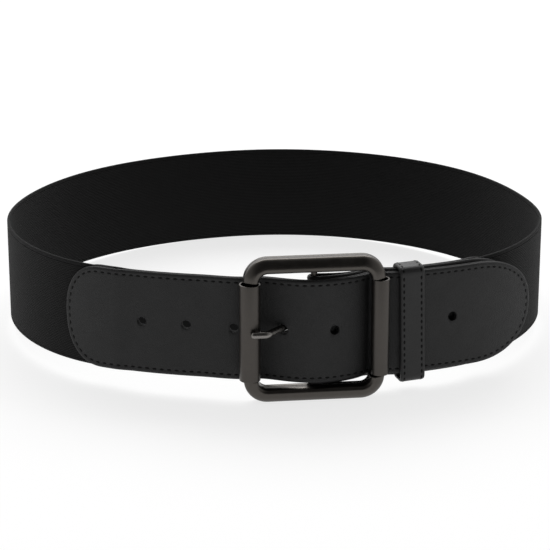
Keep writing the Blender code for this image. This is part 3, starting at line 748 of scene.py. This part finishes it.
def elastic_material():
    """Black elastic: ribs along the band, threads across them, and a plain selvage, coloured darker in their
    hollows as painted shade.
    """
    made, nodes, shader = new_material("woven_elastic")
    flat = nodes.add("ShaderNodeUVMap", uv_map="strap").outputs["UV"]
    parts = nodes.add("ShaderNodeSeparateXYZ", {0: flat}).outputs
    along = nodes.math("MULTIPLY", parts["X"], 1000.0)
    across = nodes.math("MULTIPLY", parts["Y"], 1000.0)
    rib_phase = nodes.math("DIVIDE", across, RIB_PITCH)
    rib = nodes.math("ABSOLUTE", nodes.math("SINE", nodes.math("MULTIPLY", rib_phase, math.pi)))
    crossing = nodes.math("MULTIPLY", along, 2 * math.pi / THREAD_PITCH)
    thread_phase = nodes.math("MULTIPLY_ADD", nodes.math("FLOOR", rib_phase), math.pi, crossing)
    thread = nodes.math("MULTIPLY_ADD", nodes.math("SINE", thread_phase), 0.5, 0.5)
    woven = nodes.math("MULTIPLY", rib, nodes.math("MULTIPLY_ADD", thread, 0.3, 0.7))
    inside = nodes.spread(nodes.attribute("rim"), 0.0014, 0.0019, 0.0, 1.0, smooth=True)
    selvage = nodes.math("SINE", nodes.math("MULTIPLY", along, 2 * math.pi / SELVAGE_PITCH))
    plain = nodes.math("MULTIPLY_ADD", selvage, 0.12, 0.6)
    face = nodes.add("ShaderNodeMix", {"Factor": inside, "A": plain, "B": woven}, data_type="FLOAT")
    fuzz = nodes.noise(nodes.millimetres(), 3.2, 5.0)
    height = nodes.math("MULTIPLY_ADD", fuzz, 0.35, face.outputs[0])
    looks = {
        # The colour follows the weave's height: darker in its hollows as painted shade, with the fuzz noise
        # adding random tone.
        "Base Color": nodes.blend(nodes.spread(height, 0.35, 1.15, 0.0, 1.0), grey(0.0012), grey(0.017)),
        "Roughness": 0.85,
        "Specular IOR Level": 0.15,
        "Sheen Weight": 0.025,
        "Sheen Roughness": 0.5,
        "Normal": nodes.relief(height, 0.9, 0.0003),
    }
    nodes.feed(shader, looks)
    return made


def metal_material(name, colour, rough_low, rough_high, bump):
    made, nodes, shader = new_material(name)
    satin = nodes.add("ShaderNodeGroup", {"Place": nodes.millimetres()}, node_tree=SATIN).outputs
    shades = [(*[channel * share for channel in colour], 1) for share in (0.85, 1.12)]
    looks = {
        "Base Color": nodes.blend(satin["Cloud"], *shades),
        "Metallic": 1.0,
        "Roughness": nodes.spread(satin["Cloud"], 0.3, 0.7, rough_low, rough_high),
        "Normal": nodes.relief(satin["Height"], bump, 0.00002),
    }
    nodes.feed(shader, looks)
    return made


def thread_material():
    made, nodes, shader = new_material("black_thread")
    twist = nodes.noise(nodes.millimetres(), 6.0, 3.0)
    looks = {
        "Base Color": nodes.blend(twist, grey(0.0015), grey(0.005)),
        "Roughness": nodes.spread(twist, 0.2, 0.8, 0.45, 0.75),
        "Specular IOR Level": 0.12,
        "Normal": nodes.relief(twist, 0.5, 0.00008),
    }
    nodes.feed(shader, looks)
    return made


LEATHER = leather_material("black_leather", 0.0055, 0.0145, 0.46, 0.58, 0.7)
KEEPER_LEATHER = leather_material("keeper_leather", 0.008, 0.018, 0.34, 0.46, 0.4)
ELASTIC = elastic_material()
GUNMETAL = metal_material("gunmetal", (0.080, 0.0735, 0.067), 0.29, 0.36, 0.25)
ROLLER_METAL = metal_material("gunmetal_tube", (0.074, 0.068, 0.0625), 0.34, 0.42, 0.30)
PRONG_METAL = metal_material("rubbed_gunmetal", (0.20, 0.19, 0.18), 0.24, 0.28, 0.05)
THREAD = thread_material()


# Stitches


def stitch_tree():
    """Geometry Nodes: a spindle of thread on each point, along its run and facing out."""
    sizes = {"Stitch length": "Float", "Thread width": "Float", "Thread height": "Float"}
    takes = {"Geometry": "Geometry", **sizes, "Thread": "Material"}
    tree, nodes, given, sent = new_group("stitch_row", takes, {"Geometry": "Geometry"}, "GeometryNodeTree")
    ball = nodes.add("GeometryNodeMeshUVSphere", {"Segments": 8, "Rings": 6, "Radius": 0.5})
    size = nodes.add("ShaderNodeCombineXYZ", dict(enumerate([given[name] for name in sizes])))
    shaped = nodes.add("GeometryNodeTransform", {"Geometry": ball.outputs["Mesh"], "Scale": size.outputs[0]})
    turn = nodes.add("FunctionNodeAxesToRotation", primary_axis="Z", secondary_axis="X")
    for index, name in enumerate(("facing", "run")):
        read = nodes.add("GeometryNodeInputNamedAttribute", {"Name": name}, data_type="FLOAT_VECTOR")
        nodes.feed(turn, {index: read.outputs["Attribute"]})
    spots = {"Points": given["Geometry"], "Instance": shaped.outputs[0], "Rotation": turn.outputs[0]}
    placed = nodes.add("GeometryNodeInstanceOnPoints", spots)
    real = nodes.add("GeometryNodeRealizeInstances", {"Geometry": placed.outputs["Instances"]})
    values = {"Geometry": real.outputs["Geometry"], "Material": given["Thread"]}
    nodes.feed(sent, {"Geometry": nodes.add("GeometryNodeSetMaterial", values).outputs["Geometry"]})
    return tree


STITCH_TREE = stitch_tree()


def stitches(name, rows, length):
    """One mesh of stitches from rows of (places, runs, facings), riding on the belt."""
    places, runs, facings = (np.concatenate(parts) for parts in zip(*rows))
    points = bpy.data.meshes.new(name + "_points")
    points.from_pydata([tuple(map(float, place)) for place in places], [], [])
    for title, values in (("run", runs), ("facing", facings)):
        layer = points.attributes.new(title, "FLOAT_VECTOR", "POINT")
        layer.data.foreach_set("vector", np.asarray(values, np.float32).ravel())
    carrier = helper_of(points)
    change = carrier.modifiers.new("stitch_row", "NODES")
    change.node_group = STITCH_TREE
    sizes = {"Stitch length": length, "Thread width": STITCH_WIDTH, "Thread height": STITCH_HEIGHT}
    wanted = {**sizes, "Thread": THREAD}
    for item in STITCH_TREE.interface.items_tree:
        if item.in_out == "INPUT" and item.name in wanted:
            change[item.identifier] = wanted[item.name]
    bpy.context.view_layer.update()
    graph = bpy.context.evaluated_depsgraph_get()
    mesh = bpy.data.meshes.new_from_object(carrier.evaluated_get(graph), depsgraph=graph)
    bpy.data.objects.remove(carrier)
    mesh.name = name
    for title in ("run", "facing"):
        if title in mesh.attributes:
            mesh.attributes.remove(mesh.attributes[title])
    finished(name, mesh, "belt", THREAD, sharp=80)


def along_row(place_of, distance, height, proud, closed, pitch, keep=None):
    """Stitch places every pitch along a path drawn on a strip."""
    path = place_of(distance, height, np.full(len(distance), proud))
    lifted = place_of(distance, height, np.full(len(distance), proud * 1.5 + 1e-5 * np.sign(proud)))
    if closed:
        path, lifted = np.vstack([path, path[:1]]), np.vstack([lifted, lifted[:1]])
        distance = np.append(distance, distance[0])
    along = lengths(path)
    count = round(along[-1] / pitch)
    stops = (np.arange(count) + 0.5) * along[-1] / count
    middle = at(path, stops)
    facing = np.stack([np.interp(stops, along, column) for column in lifted.T], axis=-1) - middle
    run = at(path, stops + pitch / 4) - at(path, stops - pitch / 4)
    for ways in (facing, run):
        ways /= np.linalg.norm(ways, axis=1)[:, None]
    if keep is not None:
        kept = keep(np.interp(stops, along, distance))
        middle, run, facing = middle[kept], run[kept], facing[kept]
    return middle, run, facing


def inset_outline(along, rise, inset):
    """The outline's upper and lower halves moved inwards, as one closed path of (distance, height)."""
    run = np.stack([np.gradient(along), np.gradient(rise)], axis=1)
    run[0], run[-1] = (0.0, 1.0), (0.0, -1.0)
    upper = np.stack([along, rise], axis=1) + beside(run) * inset
    return np.vstack([upper, upper[::-1][1:-1] * np.array([1, -1])])


# The elastic band


def make_elastic_band():
    left_end = BAR - TAIL_TO_LEFT_END + BAND_TUCK
    tucked = BAR + TAIL_TO_TIP - BUCKLE_STRAP_SETBACK - BAND_TUCK
    target = at(TAIL, tucked) - TAIL_OVER_BAND * outward_at(TAIL, tucked)
    right_end = lengths(LOOP)[np.linalg.norm(LOOP - target, axis=1).argmin()]
    twice = np.vstack([LOOP, LOOP[1:]])
    end = lengths(LOOP)[-1] + left_end
    along = np.linspace(right_end, end, round((end - right_end) / BAND_COLUMN))

    def proud(side):
        def face(away):
            groove = SELVAGE_DEPTH * np.exp(-(((away - SELVAGE_INSET) / SELVAGE_SPREAD) ** 2))
            return side * (BAND_THICKNESS / 2 - rounded_edge(away, BAND_EDGE_REACH, BAND_EDGE_FALL) - groove)

        return face

    rise = np.full(len(along), BAND_HEIGHT / 2)
    place = upright(twice, BAND_HEIGHT / 2, RUN_REACH)
    mesh = strip_mesh("elastic", place, along, rise, BAND_RIM_STEPS, proud(1), proud(-1), middle_rows=10)
    band = finished("elastic_webbing", mesh, "belt", ELASTIC, "elastic_band")


# The leather


def make_tail_strap():
    along = rounded_ends(TAIL_START, TAIL_END, END_DEPTH, TIP_DEPTH)
    left_rise = rounded_rise(along - TAIL_START, BAND_HEIGHT, END_DEPTH, END_FULLNESS)
    rise = np.minimum(left_rise, rounded_rise(TAIL_END - along, BAND_HEIGHT, TIP_DEPTH, TIP_FULLNESS))
    rise[0] = rise[-1] = 0.0
    punches = [hole_punch(f"punch_{number}", BAR + distance) for number, distance in enumerate(HOLES)]
    cutters = [*punches, prong_way()]
    rows = []
    for name, sign in (("tail_strap_front", 1), ("tail_strap_back", -1)):
        place = tail_place(tail_ply_middle(sign))
        faces = leather_fair(LEATHER_THICKNESS, sign), leather_plain(LEATHER_THICKNESS, -sign)
        mesh = cut_mesh(strip_mesh(name, place, along, rise, RIM_STEPS, *faces), cutters)
        mark_punched(mesh)
        finished("leather_" + name, mesh, "belt", LEATHER, name)
        path = inset_outline(along, rise, STITCH_INSET)
        stand = sign * (LEATHER_THICKNESS / 2 - STITCH_SINK)
        rows.append(along_row(place, path[:, 0], path[:, 1], stand, True, STITCH_PITCH))
    discard(cutters)
    stitches("tail_stitches", rows, STITCH_LENGTH)


def buckle_strap_line():
    """The folded strip's middle in plan, from the outer ply's tip round the bar to the inner ply's tip."""
    end = BAR + TAIL_TO_TIP - BUCKLE_STRAP_SETBACK
    places = np.linspace(BAR, end, 240)
    closing = ease((places - BAR) / FOLD_CLOSING_LENGTH)
    parting = ease((places - (end - BAND_TUCK - PLY_EASE)) / PLY_EASE)
    to_outer = BAR_TO_TAIL - FOLD_RADIUS + (TAIL_TO_PLY - BAR_TO_TAIL + FOLD_RADIUS) * closing
    beside = TAIL_TO_PLY + 2 * PLY_APART + 2 * (PLY_APART_OVER_BAND - PLY_APART) * parting
    to_inner = BAR_TO_TAIL + FOLD_RADIUS + (beside - BAR_TO_TAIL - FOLD_RADIUS) * closing
    sides = outward_at(TAIL, places)
    outer = at(TAIL, places) - to_outer[:, None] * sides
    inner = at(TAIL, places) - to_inner[:, None] * sides
    centre = at(TAIL, BAR) - BAR_TO_TAIL * sides[0]
    run = np.array([-sides[0][1], sides[0][0]])
    turns = np.linspace(0, math.pi, 30)[1:-1]
    fold = centre + FOLD_RADIUS * (np.cos(turns)[:, None] * sides[0] - np.sin(turns)[:, None] * run)
    return np.vstack([outer[::-1], fold, inner]), lengths(outer)[-1]


def make_buckle_strap():
    line, fold_at = buckle_strap_line()
    total = lengths(line)[-1]
    along = rounded_ends(0.0, total, TIP_DEPTH, TIP_DEPTH)
    near = np.abs(along - fold_at - FOLD_RADIUS * 1.5) < FOLD_FINE_REACH
    extra = np.linspace(fold_at - FOLD_FINE_BEFORE, fold_at + FOLD_FINE_AFTER, 50)
    along = np.unique(np.concatenate([along[~near], extra]))
    rise = rounded_rise(np.minimum(along, total - along), BUCKLE_STRAP_HEIGHT, TIP_DEPTH, TIP_FULLNESS)
    rise[0] = rise[-1] = 0.0
    place = upright(line, BUCKLE_STRAP_MIDDLE, BEND_REACH)
    faces = leather_fair(LEATHER_THICKNESS, -1), leather_plain(LEATHER_THICKNESS, 1)
    mesh = strip_mesh("buckle_strap", place, along, rise, RIM_STEPS, *faces)
    reach, half = EYE_RADIUS + SLOT_PAST_EYE, PRONG_DIAMETER / 2 + SLOT_ROOM
    plan = [(-reach, -reach), (reach, -reach), (reach, reach), (-reach, reach)]
    slot = helper_of(ring_sweep("prong_slot", [[(x, y, level) for x, y in plan] for level in (-half, half)]))
    slot.matrix_world = BUCKLE.matrix(height=PRONG_HEIGHT) @ Matrix.Translation((0, CENTRE_BAR_SETBACK, 0))
    mesh = cut_mesh(mesh, [slot])
    discard([slot])
    finished("leather_buckle_strap", mesh, "belt", LEATHER, "buckle_strap")
    path = inset_outline(along, rise, STITCH_INSET)
    middle = fold_at + math.pi * FOLD_RADIUS / 2

    def keep(where):
        return np.abs(where - middle) > CROSS_SEAM_ROOM

    stand = -(LEATHER_THICKNESS / 2 - STITCH_SINK)
    rows = [along_row(place, path[:, 0], path[:, 1], stand, True, STITCH_PITCH, keep)]
    heights = np.linspace(-0.5, 0.5, 40) * (BUCKLE_STRAP_HEIGHT - CROSS_SEAM_SHORT)
    for side in (-CROSS_SEAM_FROM_FOLD, CROSS_SEAM_FROM_FOLD):
        crossing = np.full(len(heights), middle + side)
        rows.append(along_row(place, crossing, heights, stand, False, STITCH_PITCH))
    stitches("buckle_strap_stitches", rows, STITCH_LENGTH)


def make_keeper():
    centre = at(TAIL, BAR + KEEPER_DISTANCE)
    out = np.array([*outward_at(TAIL, BAR + KEEPER_DISTANCE), 0.0])
    side = np.array([-out[1], out[0], 0.0])
    lean = np.array(Matrix.Rotation(KEEPER_LEAN, 3, Vector(out)))
    room = KEEPER_ROOM + KEEPER_WALL / 2
    front = TAIL_THICKNESS / 2 + room
    back = -(TAIL_TO_PLY + 2 * PLY_APART + LEATHER_THICKNESS / 2 + room)
    high = BUCKLE_STRAP_MIDDLE + BUCKLE_STRAP_HEIGHT / 2 + KEEPER_TOP_ROOM + KEEPER_WALL / 2
    low = BUCKLE_STRAP_MIDDLE - BUCKLE_STRAP_HEIGHT / 2 - KEEPER_SLACK - KEEPER_WALL / 2
    radius = KEEPER_CORNER
    corners = [
        (front - radius, high - radius, 0),
        (back + radius, high - radius, 90),
        (back + radius, low + radius, 180),
        (front - radius, low + radius, 270),
    ]
    turns = np.radians(np.linspace(0, 90, 12))
    bends = []
    for out_of, height_of, first in corners:
        angles = turns + math.radians(first)
        bend = out_of + radius * np.cos(angles), height_of + radius * np.sin(angles)
        bends.append(np.stack(bend, axis=1))
    line = np.vstack([*bends, bends[0][:1]])
    total = lengths(line)[-1]
    along = np.linspace(0, total, 150)[:-1]
    thrice = np.vstack([line[:-1], line[:-1], line])

    def place(distance, height, stand):
        shifted = distance + total
        section = at(thrice, shifted) + outward_at(thrice, shifted, BEND_REACH) * stand[..., None]
        body = section[..., :1] * out + height[..., None] * side
        body = body + (section[..., 1:] - BAND_HEIGHT / 2) * np.array([0, 0, 1.0])
        return body @ lean.T + np.array([*centre, BAND_HEIGHT / 2])

    fair = leather_fair(KEEPER_WALL, 1, KEEPER_STITCH_INSET, KEEPER_GROOVE_DEPTH, KEEPER_MARGIN_PUFF)
    faces = fair, leather_plain(KEEPER_WALL, -1)
    rise = np.full(len(along), KEEPER_WIDTH / 2)
    mesh = strip_mesh("keeper", place, along, rise, KEEPER_RIM_STEPS, *faces, middle_rows=6, closed=True)
    finished("leather_keeper", mesh, "belt", KEEPER_LEATHER, "keeper")
    rows = []
    for edge in (-1, 1):
        height = np.full(len(along), edge * (KEEPER_WIDTH / 2 - KEEPER_STITCH_INSET))
        stand = KEEPER_WALL / 2 - STITCH_SINK
        rows.append(along_row(place, along, height, stand, False, KEEPER_STITCH_PITCH))
    stitches("keeper_stitches", rows, KEEPER_STITCH_LENGTH)


# The buckle


def bar_outline():
    """The bar's section: a front that slopes outwards, a flat back with soft edges and a parting line."""
    half, back, soft = BAR_WIDTH / 2, -BAR_DEPTH / 2, BAR_BACK_EDGE
    crown = BAR_DEPTH / 2 - half
    front = []
    for turn in np.linspace(0, math.pi, 41):
        swell = abs(math.sin(turn)) ** BAR_SQUARING * (1 - BAR_SLOPE * math.cos(turn))
        front.append((half * math.cos(turn), crown + half * swell))
    seam = (0, PARTING_HALF), (PARTING_DENT, 0), (0, -PARTING_HALF)
    line = [(-half + dent, PARTING_LINE + up) for dent, up in seam]
    bends = np.linspace(0, math.pi / 2, 7)
    near = [(-half + soft * (1 - math.cos(a)), back + soft * (1 - math.sin(a))) for a in bends]
    mirrored = [(-x, z) for x, z in (line + near)[::-1]]
    return front + line + near + mirrored


def half_frame(name, turn):
    """One half of the frame: a bar, its two corners, and the shoulders where the pins enter."""
    outline = bar_outline()
    rings = []
    for corner, side in ((0, 1), (1, -1)):
        for step in range(25):
            angle = math.pi / 2 * (corner + step / 24)
            x, z = math.cos(angle), math.sin(angle)
            across = side * (BAR_SPAN / 2 - CORNER_RADIUS) + x * CORNER_RADIUS
            rise = SHOULDER_RISE + z * CORNER_RADIUS
            rings.append([(turn * (across + x * w), -d, turn * (rise + z * w)) for w, d in outline])
    ends = []
    for end, facing in ((0, 1), (-1, -1)):
        rounds = [[(x, y, z + turn * SHOULDER_SOFT) for x, y, z in rings[end]]]
        for drop, share in ((SHOULDER_SOFT / 2, 0.985), (SHOULDER_SOFT, 0.93)):
            level = turn * (SHOULDER_RISE - drop + SHOULDER_SOFT)
            reach = [(BAR_SPAN / 2 + w * share, -d * share) for w, d in outline]
            rounds.append([(turn * facing * x, y, level) for x, y in reach])
        ends.append(rounds)
    return ring_sweep(name, [*ends[0][::-1], *rings[1:-1], *ends[1]])


def make_buckle_frame():
    pin = SHOULDER_RISE + BAR_WIDTH / 4
    bars = [
        ("left_pin", -BAR_SPAN / 2, 0.0, PIN_DIAMETER / 2, pin),
        ("right_pin", BAR_SPAN / 2, 0.0, PIN_DIAMETER / 2, pin),
        ("centre_bar", 0.0, CENTRE_BAR_SETBACK, CENTRE_BAR_DIAMETER / 2, BAR_RISE / 2),
    ]
    helpers = []
    for name, across, setback, radius, half in bars:
        rod = lathe(name, [(0, half), (radius, half), (radius, -half), (0, -half)], 40)
        helpers.append(helper_of(rod, Matrix.Translation((across, setback, 0))))
    helpers.insert(1, helper_of(half_frame("lower_half", -1)))
    mesh = cut_mesh(half_frame("upper_half", 1), helpers, "UNION")
    discard(helpers)
    mesh.transform(BUCKLE.matrix(height=BUCKLE_MIDDLE))
    finished("gunmetal_frame", mesh, "belt", GUNMETAL, "buckle_frame", sharp=50)


def make_roller(side, diameter, across, forward):
    """A rolled tube whose rims are softened and turned in a little."""
    outer, half, soft = diameter / 2, SHOULDER_RISE - ROLLER_END_PLAY, ROLLER_EDGE
    inner, lip = outer - ROLLER_WALL, outer - ROLLER_WALL - ROLLER_LIP
    turns = np.linspace(0, math.pi / 2, 6)
    top = [(outer - soft + soft * math.cos(a), half - soft + soft * math.sin(a)) for a in turns]
    top += [(lip + soft - soft * math.sin(a), half - soft + soft * math.cos(a)) for a in turns]
    top += [(lip, half - ROLLER_LIP_DEPTH), (inner, half - ROLLER_LIP_END)]
    profile = top + [(r, -z) for r, z in top[::-1]]
    name = side + "_tube"
    tube = lathe(name, profile, 72, closed=True)
    tube.transform(BUCKLE.matrix(across, forward, BUCKLE_MIDDLE))
    finished(name, tube, name, ROLLER_METAL, "roller_" + side, sharp=50)


def make_prong():
    """The prong's wire with its domed tip, joined to the eye round the centre bar."""
    radius = PRONG_DIAMETER / 2
    turns = np.linspace(0, math.radians(86), 9)[1:]
    tip = PRONG_CORNERS[-1] - radius * np.stack([np.sin(turns), np.zeros(len(turns))], axis=1)
    bent = with_bends(PRONG_CORNERS, PRONG_BEND)
    route = np.vstack([bent, tip])
    widths = np.concatenate([np.full(len(bent), radius), radius * np.cos(turns)])
    rings = []
    for centre, side, width in zip(route, outward(route), widths):
        ring = []
        for turn in np.linspace(0, 2 * math.pi, 28, endpoint=False):
            across, out = centre + side * width * math.cos(turn)
            ring.append((across, -out, width * math.sin(turn)))
        rings.append(ring)
    outer, inner, soft = EYE_RADIUS, EYE_RADIUS - PRONG_EYE_WALL, PRONG_EYE_SOFT
    edge = [(outer, radius - soft), (outer - soft, radius), (inner + soft, radius), (inner, radius - soft)]
    eye = helper_of(lathe("eye", edge + [(r, -z) for r, z in edge[::-1]], 48, closed=True))
    eye.location.y = CENTRE_BAR_SETBACK
    mesh = cut_mesh(ring_sweep("prong", rings), [eye], "UNION")
    discard([eye])
    mesh.transform(BUCKLE.matrix(height=PRONG_HEIGHT))
    finished("gunmetal_prong", mesh, "belt", PRONG_METAL, "prong", sharp=50)


make_elastic_band()
make_tail_strap()
make_buckle_strap()
make_keeper()
make_buckle_frame()
make_roller("left", LEFT_ROLLER_DIAMETER, LEFT_ROLLER_ACROSS, LEFT_ROLLER_FORWARD)
make_roller("right", RIGHT_ROLLER_DIAMETER, RIGHT_ROLLER_ACROSS, RIGHT_ROLLER_FORWARD)
make_prong()


# The studio


FLOOR_SIZE = 12.0
FLOOR_GLOW = 0.76
FLOOR_TONE = 0.27
FLOOR_BACK = 1.8
# A painted shadow strip on the floor behind the front strap: its tone, middle, reach and lean.
SHADE_TONE = 0.004
SHADE_PLACE = (-0.032, -0.0192)
SHADE_REACH = (0.0525, 0.0092)
SHADE_LEAN = 0.174
WORLD_FRONT = 0.06
WORLD_BACK = 1.0
WORLD_TURN_FRONT = -0.3
WORLD_TURN_BACK = 0.7
WORLD_ASIDE = 0.4
CAMERA_DOWN = math.radians(18.5)
CAMERA_DISTANCE = 1.075
CAMERA_LENS = 141.43
CAMERA_AIM = (0, -0.0353, BAND_HEIGHT / 2)


def pale_floor():
    """A pale floor, with a painted shadow strip behind the strap that is seen only through the punched
    holes.
    """
    half = FLOOR_SIZE / 2
    mesh = bpy.data.meshes.new("pale_floor")
    corners = [(-half, -half, 0), (half, -half, 0), (half, half, 0), (-half, half, 0)]
    mesh.from_pydata(corners, [], [(0, 1, 2, 3)])
    floor = bpy.data.objects.new("pale_floor", mesh)
    bpy.context.scene.collection.objects.link(floor)
    floor.location = (0, FLOOR_BACK, 0)
    made, nodes, shader = new_material("pale_floor")
    place = nodes.add("ShaderNodeTexCoord").outputs["Object"]
    middle = (SHADE_PLACE[0], SHADE_PLACE[1] - FLOOR_BACK, 0)
    spot = nodes.add("ShaderNodeVectorMath", {0: place, 1: middle}, operation="SUBTRACT")
    parts = nodes.add("ShaderNodeSeparateXYZ", {0: spot.outputs[0]}).outputs
    across = nodes.math("ABSOLUTE", nodes.math("DIVIDE", parts["X"], SHADE_REACH[0]))
    leaning = nodes.math("MULTIPLY_ADD", parts["X"], SHADE_LEAN, parts["Y"])
    behind = nodes.math("ABSOLUTE", nodes.math("DIVIDE", leaning, SHADE_REACH[1]))
    light = nodes.spread(nodes.math("MAXIMUM", across, behind), 0.8, 1.15, 0.0, 1.0, smooth=True)
    looks = {
        # light is 0 inside the painted shadow strip; there both the colour and the glow are darkened.
        "Base Color": nodes.blend(light, grey(SHADE_TONE), grey(FLOOR_TONE)),
        "Roughness": 0.8,
        "Specular IOR Level": 0.0,
        "Emission Color": nodes.blend(light, grey(SHADE_TONE), grey(1.0)),
        "Emission Strength": FLOOR_GLOW,
    }
    nodes.feed(shader, looks)
    mesh.materials.append(made)


def studio_world():
    """White behind the belt and overhead, softly lit at the sides, darker behind the camera."""
    world = bpy.data.worlds.new("studio")
    bpy.context.scene.world = world
    world.use_nodes = True
    nodes = Nodes(world.node_tree)
    way = nodes.add("ShaderNodeTexCoord").outputs["Generated"]
    parts = nodes.add("ShaderNodeSeparateXYZ", {0: way}).outputs
    turn = WORLD_TURN_FRONT, WORLD_TURN_BACK, WORLD_FRONT, WORLD_BACK
    behind = nodes.spread(parts["Y"], *turn, smooth=True)
    aside = nodes.spread(nodes.math("ABSOLUTE", parts["X"]), 0.4, 0.9, 0.0, WORLD_ASIDE, smooth=True)
    looks = {"Color": grey(1.0), "Strength": nodes.math("ADD", behind, aside)}
    nodes.feed(world.node_tree.nodes["Background"], looks)


def softbox(name, place, aim, width, depth, power):
    light = bpy.data.lights.new(name, "AREA")
    light.shape = "RECTANGLE"
    light.size = width
    light.size_y = depth
    light.energy = power
    made = bpy.data.objects.new(name, light)
    bpy.context.scene.collection.objects.link(made)
    made.location = place
    made.rotation_euler = (Vector(aim) - Vector(place)).to_track_quat("-Z", "Y").to_euler()


def photo_camera():
    """The photograph's view: 18.5 degrees down on the belt's own upright, from 1.075 m."""
    level, steep = math.cos(CAMERA_DOWN), math.sin(CAMERA_DOWN)
    place = Vector(CAMERA_AIM) + Vector((0, -level, steep)) * CAMERA_DISTANCE
    turn = Matrix(((1, 0, 0), (0, steep, -level), (0, level, steep)))
    data = bpy.data.cameras.new("photo_camera")
    data.sensor_width = 36
    data.lens = CAMERA_LENS
    data.clip_end = 50
    camera = bpy.data.objects.new("photo_camera", data)
    bpy.context.scene.collection.objects.link(camera)
    camera.matrix_world = STAND @ Matrix.Translation(place) @ turn.to_4x4()
    bpy.context.scene.camera = camera


photo_camera()
pale_floor()
studio_world()
softbox("overhead", (0, 1.15, 1.4), (0, 0.05, 0), 2.0, 1.0, 26)
bpy.context.scene.view_settings.view_transform = "Standard"
bpy.context.scene.view_settings.look = "None"
